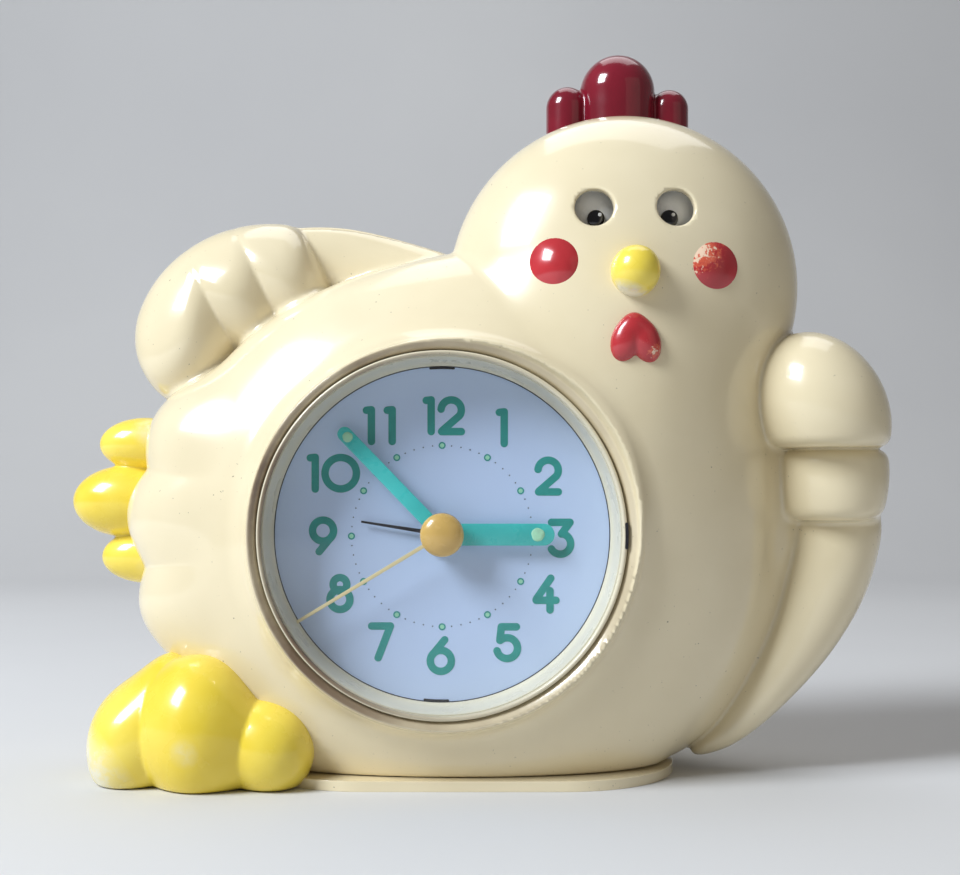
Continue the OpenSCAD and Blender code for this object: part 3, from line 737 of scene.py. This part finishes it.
def red_material(name, base, bare):
    """Red paint, rubbed and chipped round the points in bare: (point, inner, outer)."""
    n = Nodes(name)
    c = n.mix(n.range(n.noise(120, 4), 0.3, 0.7), shade(base, 0.8), shade(base, 1.15))
    for point, inner, outer in bare:
        chance = n.range(n.distance(point), inner * MM, outer * MM, 0.34, -0.2)
        thin = n.range(n.math("ADD", n.noise(1100, 3, 0.7), chance), 0.46, 0.62, 0, 0.75)
        c = n.mix(thin, c, (0.72, 0.14, 0.07))
        dots = n.math("ADD", n.noise(1500, 2, 0.6), chance)
        c = n.mix(n.range(dots, 0.66, 0.72), c, (0.85, 0.62, 0.45))
    n.colour(c)
    n.link(n.range(n.noise(160, 4), 0.3, 0.7, 0.14, 0.3), n.shader.inputs["Roughness"])
    n.bump(n.noise(700, 3, 0.6), 0.15, 0.04)
    n.set(Coat_Weight=0.5, Coat_Roughness=0.06)
    return n.mat


RED = (0.50, 0.032, 0.04)
RUBBED = (CHEEKS[1][0] - 3.4, CHEEKS[1][1], CHEEKS[1][2] + 2.6)
cheek_mat = red_material("cheek_paint", RED, [(RUBBED, 0.6, 6.5)])
wattle_mat = red_material("wattle_paint", RED, [((31.2, WATTLE_Y - 2, 82.2), 0.3, 2.4)])

# colour, roughness, colour change and its scale, bump, its grain and depth, coat, metal
comb_mat = surface_material("comb_plastic", (0.20, 0.009, 0.022), 0.16, 0.25, 70, 0.1, 500, 0.04, 0.6,
                            specks=0.3).mat
dial_mat = surface_material("dial_print", (0.55, 0.68, 0.92), 0.45, 0.025, 30, 0.06, 900, 0.01, 0.1,
                            specks=0.12).mat
ink = surface_material("dial_ink", (0.03, 0.32, 0.285), 0.45, 0.12, 400, 0.2, 2600, 0.01).mat
pale_ink = surface_material("dial_lume", (0.35, 0.72, 0.50), 0.5, 0.1, 500, 0.2, 2000, 0.01).mat
turquoise = surface_material("hand_paint", (0.055, 0.56, 0.53), 0.3, 0.1, 130, 0.12, 1500, 0.02, 0.25,
                             tint=(0.08, 0.62, 0.58)).mat
lume = surface_material("hand_lume", (0.42, 0.78, 0.52), 0.55, 0.2, 700, 0.4, 2500, 0.05).mat
second_mat = surface_material("second_paint", (0.74, 0.62, 0.33), 0.35, 0.1, 200, 0.1, 1500, 0.01).mat
alarm_mat = surface_material("alarm_paint", (0.015, 0.015, 0.02), 0.35, 0.2, 200, 0.1, 1500, 0.01).mat
amber = surface_material("cap_plastic", (0.72, 0.46, 0.13), 0.24, 0.08, 150, 0.08, 900, 0.02, 0.4).mat
steel = surface_material("steel", (0.55, 0.55, 0.56), 0.32, 0.18, 180, 0.25, 1400, 0.02, 0, 1.0,
                         stretch=(1, 14, 1)).mat
brass = surface_material("brass", (0.60, 0.42, 0.16), 0.3, 0.15, 160, 0.2, 1400, 0.02, 0, 1.0).mat
copper = surface_material("copper_winding", (0.55, 0.22, 0.08), 0.35, 0.2, 200, 0.6, 900, 0.08, 0, 1.0,
                          stretch=(1, 1, 9)).mat
white = surface_material("white_plastic", (0.72, 0.72, 0.68), 0.42, 0.08, 90, 0.15, 900, 0.03).mat
black = surface_material("black_plastic", (0.02, 0.02, 0.022), 0.45, 0.3, 120, 0.25, 900, 0.04).mat
board = surface_material("circuit_board", (0.03, 0.16, 0.07), 0.4, 0.3, 260, 0.2, 1200, 0.03,
                         tint=(0.05, 0.22, 0.10)).mat
wrap = surface_material("battery_wrap", (0.05, 0.07, 0.22), 0.25, 0.15, 90, 0.1, 500, 0.03, 0.4).mat
eye_white = surface_material("eye_white", (0.93, 0.93, 0.91), 0.25, 0.05, 110, 0.1, 700, 0.02, 0.4).mat
pupil_mat = surface_material("pupil_paint", (0.006, 0.006, 0.008), 0.12, 0.4, 150, 0.05, 900, 0.01, 0.6).mat


def clear_material():
    """Thin clear plastic: mostly see-through, with a weak gloss that is slightly uneven."""
    m = bpy.data.materials.new("clear_lens")
    m.use_nodes = True
    t = m.node_tree
    out = t.nodes["Material Output"]
    t.nodes.remove(t.nodes["Principled BSDF"])
    through = t.nodes.new("ShaderNodeBsdfTransparent")
    gloss = t.nodes.new("ShaderNodeBsdfGlossy")
    mix = t.nodes.new("ShaderNodeMixShader")
    coord = t.nodes.new("ShaderNodeTexCoord")
    noise = t.nodes.new("ShaderNodeTexNoise")
    tone = t.nodes.new("ShaderNodeMapRange")
    noise.inputs["Scale"].default_value = 300
    noise.inputs["Detail"].default_value = 5
    tone.inputs["To Min"].default_value = 0.02
    tone.inputs["To Max"].default_value = 0.09
    through.inputs["Color"].default_value = (0.985, 0.99, 0.995, 1)
    mix.inputs[0].default_value = 0.035
    t.links.new(coord.outputs["Object"], noise.inputs["Vector"])
    t.links.new(noise.outputs["Fac"], tone.inputs["Value"])
    t.links.new(tone.outputs["Result"], gloss.inputs["Roughness"])
    t.links.new(through.outputs[0], mix.inputs[1])
    t.links.new(gloss.outputs[0], mix.inputs[2])
    t.links.new(mix.outputs[0], out.inputs["Surface"])
    return m


clear = clear_material()

# ---------------------------------------------------------------- case
moulded("front_case", front_case, (-80, -36, 0), (90, 1, 135), CELL,
        "case", cream, ["front_shell"])
moulded("rear_case", rear_case, (-80, -1, 0), (90, 26, 135), CELL * 1.15,
        "case", cream, ["rear_shell"])
moulded("foot_lobes", foot_shape, (-82, -38, -1), (-28, 2, 28), CELL * 0.8,
        "case", foot_mat, ["foot"])
moulded("tail_feathers", tail_shape, (-88, -9, 34), (-60, 13, 76), CELL * 0.7,
        "case", tail_mat, ["tail"])
moulded("beak_ball", beak_shape, (21, BEAK[1] - 9, 91), (35, BEAK[1] + 5, 105), CELL * 0.4,
        "case", beak_mat, ["beak"])
moulded("wattle_heart", wattle_shape, (20, WATTLE_Y - 4, 78), (36, WATTLE_Y + 4, 92), CELL * 0.4,
        "case", wattle_mat, ["wattle"])
moulded("cheek_spots", cheek_shape, (6, -36, 93), (50, -20, 107), CELL * 0.45,
        "case", cheek_mat, ["cheeks"])
moulded("comb_fingers", comb_shape, (11, -8, 121), (46, 12, 150), CELL * 0.7,
        "comb", comb_mat, ["comb_button"])
softened("base_plate", 0.5, cream)
softened("battery_door", 0.35, cream)
for n in ("time_knob", "alarm_knob"):
    softened(n, 0.08, white, 2)
softened("alarm_switch", 0.3, black)


def coil(centre, radius, wire, z0, z1, turns=6.0, flat=0.7, n=36, sides=10):
    """Compression spring standing on Z, its first and last turns lying flat."""
    verts, faces = [], []
    count = int(turns * n) + 1
    for i in range(count):
        t = i / n
        a = 2 * math.pi * t
        z = z0 + wire + (z1 - z0 - 2 * wire) * min(max((t - flat) / (turns - 2 * flat), 0), 1)
        for k in range(sides):
            b = 2 * math.pi * k / sides
            r = radius + wire * math.cos(b)
            verts.append((centre[0] + r * math.cos(a), centre[1] + r * math.sin(a), z + wire * math.sin(b)))
    for i in range(count - 1):
        for k in range(sides):
            l = (k + 1) % sides
            faces.append((i * sides + k, (i + 1) * sides + k, (i + 1) * sides + l, i * sides + l))
    return verts, faces + [tuple(range(sides)), tuple(range((count - 1) * sides, count * sides))]


lo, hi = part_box("comb_spring")
v, f = coil((COMB[0][0], COMB_Y), 3.1, 0.36, lo.z / MM, hi.z / MM)
spring = add("press_spring", v, f, "case", steel, True, None, ["comb_spring"])
tidy_up(spring)
by_angle(spring, 60)
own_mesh(spring)

# ---------------------------------------------------------------- bezel, lens and dial
DIAL_AXIS = (DX, DZ)
BEZEL_PROFILE = [(32.35, -22.1), (34.5, -22.1), (34.5, -31.0), (34.45, -31.35), (34.25, -31.55),
                 (34.0, -31.6), (33.75, -31.5), (33.62, -31.3), (33.55, -30.98), (33.95, -30.95),
                 (33.98, -29.66), (33.5, -29.6), (33.4, -29.3), (33.1, -26.6), (32.75, -23.6),
                 (32.5, -23.0), (32.35, -22.8)]
LENS_PROFILE = [(0.0, -29.7), (33.5, -29.7), (33.85, -29.75), (33.9, -30.0), (33.9, -30.6), (33.8, -30.8),
                (33.5, -30.88), (0.0, -30.9)]
DIAL_PROFILE = [(4.1, DIAL_Y + 1), (33.7, DIAL_Y + 1), (33.8, DIAL_Y + 0.9), (33.8, DIAL_Y + 0.06),
                (33.74, DIAL_Y), (4.2, DIAL_Y), (4.1, DIAL_Y + 0.1)]
turned_piece("bezel", BEZEL_PROFILE, DIAL_AXIS, 220, True, 40,
             "case", ring_mat, ["bezel_ring"])
turned_piece("window", LENS_PROFILE, DIAL_AXIS, 200, False, 40, "case", clear, ["lens"])
turned_piece("dial_plate", DIAL_PROFILE, DIAL_AXIS, 200, True, 40, "case", dial_mat, ["dial"])
# painted shadow: a thin black ring on the dial at the foot of the bezel stands in for the shade in the gap
# between them
turned_piece("dial_edge_shadow", washer(32.18, 32.36, DIAL_Y - 0.02, DIAL_Y - 0.1), DIAL_AXIS, 220, True, 30,
             "case", alarm_mat)


# ---------------------------------------------------------------- print on the dial, and painted shade in the slots round it
def arc(cx, cz, r, a0, a1, n=28):
    """Points of an arc from a0 to a1 degrees, anticlockwise from the right."""
    return [(cx + r * math.cos(math.radians(a0 + (a1 - a0) * i / n)),
             cz + r * math.sin(math.radians(a0 + (a1 - a0) * i / n))) for i in range(n + 1)]


GLYPHS = {    # centre lines of the strokes in millimetres, 6.1 high, the foot at z = 0
    "1": [[(0, 0), (0, 6.1)], [(-0.95, 6.0), (0, 6.1)]],
    "2": [arc(0, 4.15, 1.95, 175, -32) + [(-1.75, 0.15)], [(-1.85, 0), (1.95, 0)]],
    "3": [[(-1.8, 6.1), (1.75, 6.1)], [(1.75, 6.1), (0.1, 3.85)], arc(-0.1, 1.95, 1.98, 80, -150)],
    "4": [[(0.9, 6.1), (-1.9, 2.05)], [(-1.9, 1.85), (1.9, 1.85)], [(0.75, 3.7), (0.75, 0)]],
    "5": [[(-1.2, 6.1), (1.7, 6.1)], [(-1.2, 6.1), (-1.5, 3.5)], arc(-0.1, 2.0, 2.0, 132, -165)],
    "6": [[(0.75, 6.1), (-1.7, 3.1)], arc(0, 2.05, 2.03, 0, 360)],
    "7": [[(-1.85, 6.1), (1.75, 6.1)], [(1.75, 6.1), (-0.6, 0)]],
    "8": [arc(0, 4.8, 1.32, 0, 360), arc(0, 1.9, 1.92, 0, 360)],
    "9": [[(-0.75, 0), (1.7, 3.0)], arc(0, 4.05, 2.03, 0, 360)],
    "0": [arc(0, 3.05, 3.02, 0, 360, 56)]}
LAYOUT = [    # glyph, x of its middle and z of its foot, measured from the dial's middle
    ("1", -2.1, 20.1), ("2", 1.75, 20.1), ("1", 11.95, 17.8), ("2", 20.4, 8.5), ("3", 22.85, -3.45),
    ("4", 20.0, -14.2), ("5", 12.6, -23.55), ("6", -0.25, -26.05), ("7", -11.7, -23.4), ("8", -19.65, -14.1),
    ("9", -22.9, -3.0), ("1", -24.4, 9.05), ("0", -19.5, 9.05), ("1", -13.6, 18.2), ("1", -9.6, 18.2)]
STROKE = 1.45


def ring_mesh(P, N, place):
    """A closed ring between the points P + N and P - N; place gives the corners of both sides."""
    n = len(P)
    faces = []
    for i in range(n):
        j = (i + 1) % n
        a, b, c, d = i, j, n + j, n + i
        faces += [(a, b, c, d), (2 * n + d, 2 * n + c, 2 * n + b, 2 * n + a),
                  (a, 2 * n + a, 2 * n + b, b), (d, c, 2 * n + c, 2 * n + d)]
    return place(np.vstack([P + N, P - N])), faces


def round_end(p, t, n, width):
    """Half a circle round p from p + n to p - n, bulging along the unit direction t."""
    return [p + n * math.cos(a) + t * math.sin(a) * width / 2 for a in np.linspace(0, math.pi, 13)[1:-1]]


def stroke_mesh(points, at, y_front, width, y_back=DIAL_Y - 0.005):
    """A flat stroke of even width with round ends, or a closed ring if its ends meet."""
    def place(outline):
        return [(at[0] + x, y, at[1] + z) for y in (y_front, y_back) for x, z in outline]

    P = np.array(points, float)
    closed = np.linalg.norm(P[0] - P[-1]) < 1e-6
    if closed:
        P = P[:-1]
        T = np.roll(P, -1, 0) - np.roll(P, 1, 0)
    else:
        T = np.gradient(P, axis=0)
    T /= np.linalg.norm(T, axis=1, keepdims=True)
    N = np.stack([-T[:, 1], T[:, 0]], 1) * width / 2
    if closed:
        return ring_mesh(P, N, place)
    line = list(P + N) + round_end(P[-1], T[-1], N[-1], width)
    line += list((P - N)[::-1]) + round_end(P[0], -T[0], -N[0], width)
    m = len(line)
    faces = [tuple(range(m)), tuple(range(2 * m - 1, m - 1, -1))]
    faces += [(i, i + m, (i + 1) % m + m, (i + 1) % m) for i in range(m)]
    return place(line), faces


def join(parts):
    """Several (verts, faces) as one."""
    verts, faces = [], []
    for v, f in parts:
        base = len(verts)
        verts += list(v)
        faces += [tuple(i + base for i in face) for face in f]
    return verts, faces


# flat marks on the dial: the print, and also the painted shade of the slots
def print_and_shade_marks(name, parts, material):
    verts, faces = join(parts)
    tidy_up(add(name, verts, faces, "case", material, False), 0.0005)


PRINT_Z = DZ - 0.35      # the print sits a little low on the dial plate
strokes = []
for glyph, x, z in LAYOUT:
    for layer, stroke in enumerate(GLYPHS[glyph]):
        strokes.append(stroke_mesh(stroke, (DX + x, PRINT_Z + z), DIAL_Y - 0.03 - 0.012 * layer, STROKE))
print_and_shade_marks("numerals", strokes, ink)

# the track: twelve ringed spots with four fine dots between them
TRACK_R = 17.44
spots, rings, dots = [], [], []
for i in range(60):
    a = math.radians(90 - 6 * i)
    c = (DX + TRACK_R * math.cos(a), PRINT_Z + TRACK_R * math.sin(a))
    if i % 5 == 0:
        rings.append(lathe(washer(0.42, 0.68, DIAL_Y - 0.01, DIAL_Y - 0.05), c, 32, True))
        spots.append(lathe(washer(0.0, 0.46, DIAL_Y - 0.005, DIAL_Y - 0.035), c, 32))
    else:
        dots.append(lathe(washer(0.0, 0.13, DIAL_Y - 0.005, DIAL_Y - 0.035), c, 12))
print_and_shade_marks("track_rings", rings, ink)
print_and_shade_marks("track_spots", spots, pale_ink)
print_and_shade_marks("track_dots", dots, alarm_mat)

# black strips of painted shade stand in for the dark inside the lens tab slots at twelve and six, and inside
# the release notch in the rim at three
slots = [stroke_mesh(arc(0, 0, 32.0, mid - 4, mid + 4), DIAL_AXIS, DIAL_Y - 0.12, 0.45) for mid in (90, -92)]
slots.append(stroke_mesh(arc(0, 0, 34.35, -3.6, 3.6), DIAL_AXIS, -31.66, 0.62, -31.2))
print_and_shade_marks("lens_tab_slot_shade", slots, alarm_mat)


# ---------------------------------------------------------------- hands
def turned(points, angle):
    """Turns (x, z) points clockwise about the dial's centre and moves them there."""
    s, c = math.sin(math.radians(angle)), math.cos(math.radians(angle))
    return [(DX + x * c + z * s, DZ - x * s + z * c) for x, z in points]


def bar(width, length, hub):
    """Outline of a straight hand with a round tip and a round hub."""
    def outline(inset):
        w, h = width / 2 - inset, hub - inset
        start = math.asin(min(w / h, 0.999))
        pts = [(h * math.sin(a), h * math.cos(a)) for a in np.linspace(start, 2 * math.pi - start, 40)]
        pts += [(-w * math.cos(a), length - width / 2 + w * math.sin(a)) for a in np.linspace(0, math.pi, 19)]
        return pts
    return outline


def needle(w0, w1, length, hub):
    """Outline of a thin hand that tapers from w0 to w1, with a round hub."""
    def outline(inset):
        h = hub - inset
        start = math.asin((w0 / 2 - inset) / h)
        pts = [(h * math.sin(a), h * math.cos(a)) for a in np.linspace(start, 2 * math.pi - start, 40)]
        return pts + [(-(w1 / 2 - inset), length - inset), (w1 / 2 - inset, length - inset)]
    return outline


def hand(name, node, outline, angle, edge, body_name, material):
    """A flat hand as thick as its CAD node, turned to an angle from twelve, its edges cut by edge."""
    low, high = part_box(node)
    y0, y1 = high.y / MM, low.y / MM
    layers = [(edge, y0), (0, y0 - edge), (0, y1 + edge), (edge * 0.3, y1 + edge * 0.3), (edge, y1)]
    v, f = plate(lambda i: turned(outline(i), angle), layers)
    o = add(name, v, f, body_name, material, True, None, [node])
    tidy_up(o, 0.0005)
    by_angle(o, 50)


HOUR, MINUTE, SECOND, ALARM = 90, 316, 239, 279    # degrees clockwise from twelve
hand("hour_bar", "hour_hand", bar(4.2, 21.5, 3.6), HOUR, 0.09,
     "hour_train", turquoise)
hand("minute_bar", "minute_hand", bar(2.8, 28, 3.2), MINUTE, 0.09,
     "minute_train", turquoise)
hand("second_needle", "second_hand", needle(0.74, 0.62, 32, 2.2), SECOND, 0.05,
     "second_train", second_mat)
hand("alarm_needle", "alarm_hand", needle(0.75, 0.4, 15.7, 3.9), ALARM, 0.05,
     "alarm_train", alarm_mat)


def blob(name, node, angle, distance, radius, body_name):
    """A dab of luminous paint with an uneven edge."""
    low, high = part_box(node)
    cx, cz = turned([(0, distance)], angle)[0]
    y_back, rise = high.y / MM, (high.y - low.y) / MM
    verts, faces, n = [(cx, y_back - rise, cz)], [], 36
    steps = ((0.35, 0.96), (0.65, 0.82), (0.86, 0.5), (0.97, 0.2), (1.0, 0.0))    # shares of radius and rise
    for s, t in steps:
        for i in range(n):
            a = 2 * math.pi * i / n
            r = radius * s * (1 + 0.05 * math.sin(3 * a + 1) + 0.03 * math.sin(5 * a))
            r = min(r, radius)
            verts.append((cx + r * math.cos(a), y_back - rise * t, cz + r * math.sin(a)))
    faces += [(0, 1 + i, 1 + (i + 1) % n) for i in range(n)]
    for k in range(len(steps) - 1):
        inner, outer = 1 + k * n, 1 + (k + 1) * n
        faces += [(inner + i, outer + i, outer + (i + 1) % n, inner + (i + 1) % n) for i in range(n)]
    faces.append(tuple(1 + (len(steps) - 1) * n + i for i in range(n)))
    o = add(name, verts, faces, body_name, lume, True, None, [node])
    tidy_up(o, 0.0005)
    by_angle(o, 60)


blob("hour_glow", "hour_lume", HOUR, 18.3, 1.3, "hour_train")
blob("minute_glow", "minute_lume", MINUTE, 25.8, 1.0, "minute_train")
lo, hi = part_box("centre_cap")
top, back, cap_r = lo.y / MM, hi.y / MM, (hi.x - lo.x) / 2 / MM
dome = [(0.0, top)]
for a in np.linspace(0.08, math.pi / 2, 22):
    dome.append((cap_r * math.sin(a), top + (back - 0.35 - top) * (1 - math.cos(a))))
dome += [(cap_r, back - 0.1), (cap_r - 0.1, back), (0.62, back)]
turned_piece("cap_dome", dome, DIAL_AXIS, 96, False, 50,
             "second_train", amber, ["centre_cap"])

# ---------------------------------------------------------------- eyes
lo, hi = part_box("pupils")
PUPIL_R = (hi.z - lo.z) / 2 / MM
PUPIL_Z = (hi.z + lo.z) / 2 / MM
PUPIL_Y = lo.y / MM
EYEBALL_X, PUPIL_X = 7.15, 7.0           # from the middle of the face
BALL_R, BALL_RIM = 10.0, 4.6             # radius of the eye's curve, and of the curved part
BALL_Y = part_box("eyes")[0].y / MM + BALL_R
BALL_FLANGE = [(5.8, -23.4), (5.9, -23.3), (5.9, -22.5), (5.8, -22.4), (0.0, -22.4)]


def eye_profile():
    """A shallow dome on a round flange."""
    dome = [(0.0, BALL_Y - BALL_R)]
    for a in np.linspace(0.03, math.asin(BALL_RIM / BALL_R), 16):
        dome.append((BALL_R * math.sin(a), BALL_Y - BALL_R * math.cos(a)))
    return dome + BALL_FLANGE


def pupil_profile():
    return [(0.0, PUPIL_Y), (PUPIL_R - 0.15, PUPIL_Y), (PUPIL_R, PUPIL_Y + 0.1),
            (PUPIL_R, PUPIL_Y + 0.6), (0.0, PUPIL_Y + 0.6)]


def glint_profile():
    """A painted highlight: a tiny pale dot that stands just in front of the pupil."""
    return [(0.0, PUPIL_Y - 0.03), (0.3, PUPIL_Y - 0.02), (0.36, PUPIL_Y),
            (0.36, PUPIL_Y + 0.05), (0.0, PUPIL_Y + 0.05)]


for s, side in ((-1, "left"), (1, "right")):
    pupil_x = FACE_X + s * PUPIL_X
    turned_piece("eyeball_" + side, eye_profile(), (FACE_X + s * EYEBALL_X, EYE_Z - 0.6), 72, False, 50,
                 "eye_lever", eye_white, ["eyes"])
    turned_piece("pupil_" + side, pupil_profile(), (pupil_x, PUPIL_Z), 48, False, 50,
                 "eye_lever", pupil_mat, ["pupils"])
    # a painted highlight on each pupil, up and to the right of its middle
    turned_piece("glint_" + side, glint_profile(), (pupil_x + 0.75, PUPIL_Z + 0.75), 24, False, None,
                 "eye_lever", eye_white)

# ---------------------------------------------------------------- the CAD nodes that stay as they are
KEPT = [(steel, ["movement_screws", "stator", "crystal", "switch_body", "contacts", "speaker_frame",
                 "speaker_magnet", "eye_pivot", "case_screws", "eye_magnet"]),
        (white, ["comb_guide", "front_plate", "bridge_plate", "movement_cover", "alarm_wheel", "hour_wheel",
                 "minute_wheel", "third_wheel", "second_wheel", "intermediate_wheel", "rotor",
                 "eye_bracket"]),
        (brass, ["cannon_pinion", "centre_wheel"]),
        (black, ["battery_tray", "speaker_cone", "sound_chip", "rotor_magnet"]),
        (copper, ["coil", "eye_coil"]),
        (board, ["clock_board", "sound_board"]),
        (wrap, ["battery_cell"])]
for material, names in KEPT:
    for n in names:
        o = frame["nodes"][n]
        o.data.materials.clear()
        o.data.materials.append(material)
        by_angle(o, 35)


# ---------------------------------------------------------------- floor, backdrop and light
def sweep():
    """A pale floor that curves up into a backdrop."""
    width, front, bend, radius, height = 2.4, -1.2, 0.55, 0.5, 2.0
    line = [(front, 0.0), (bend, 0.0)]
    for a in np.linspace(0.05, math.pi / 2, 24):
        line.append((bend + radius * math.sin(a), radius * (1 - math.cos(a))))
    line.append((bend + radius, height))
    mesh = bpy.data.meshes.new("sweep")
    verts = [(x, y, z) for y, z in line for x in (-width, width)]
    mesh.from_pydata(verts, [], [(2 * i, 2 * i + 1, 2 * i + 3, 2 * i + 2) for i in range(len(line) - 1)])
    mesh.shade_smooth()
    n = Nodes("studio_paper")
    n.colour(n.mix(n.range(n.noise(3, 3), 0.3, 0.7), (0.63, 0.63, 0.63), (0.67, 0.67, 0.665)))
    n.set(Roughness=0.8)
    mesh.materials.append(n.mat)
    obj = bpy.data.objects.new("sweep", mesh)
    bpy.context.scene.collection.objects.link(obj)
    return obj


sweep()


def area(name, place, target, size, power, tint):
    """A rectangular lamp at place, facing target."""
    data = bpy.data.lights.new(name, "AREA")
    data.shape, data.size, data.size_y = "RECTANGLE", size[0], size[1]
    data.energy, data.color = power, tint
    obj = bpy.data.objects.new(name, data)
    obj.location = place
    obj.rotation_euler = (Vector(target) - Vector(place)).to_track_quat("-Z", "Y").to_euler()
    bpy.context.scene.collection.objects.link(obj)


area("window", (-0.78, -0.49, 0.79), (0, 0, 0.06), (0.42, 0.5), 16.8, (0.93, 0.985, 1.06))
area("fill", (0.75, -0.75, 0.35), (0, 0, 0.06), (0.9, 0.9), 0.55, (1.0, 0.88, 0.74))
area("top", (0.1, 0.35, 1.1), (0, 0.05, 0.05), (0.9, 0.7), 3.2, (0.97, 0.98, 1.0))
world = bpy.data.worlds.new("world")
world.use_nodes = True
world.node_tree.nodes["Background"].inputs["Color"].default_value = (0.98, 0.95, 0.94, 1)
world.node_tree.nodes["Background"].inputs["Strength"].default_value = 0.15
bpy.context.scene.world = world
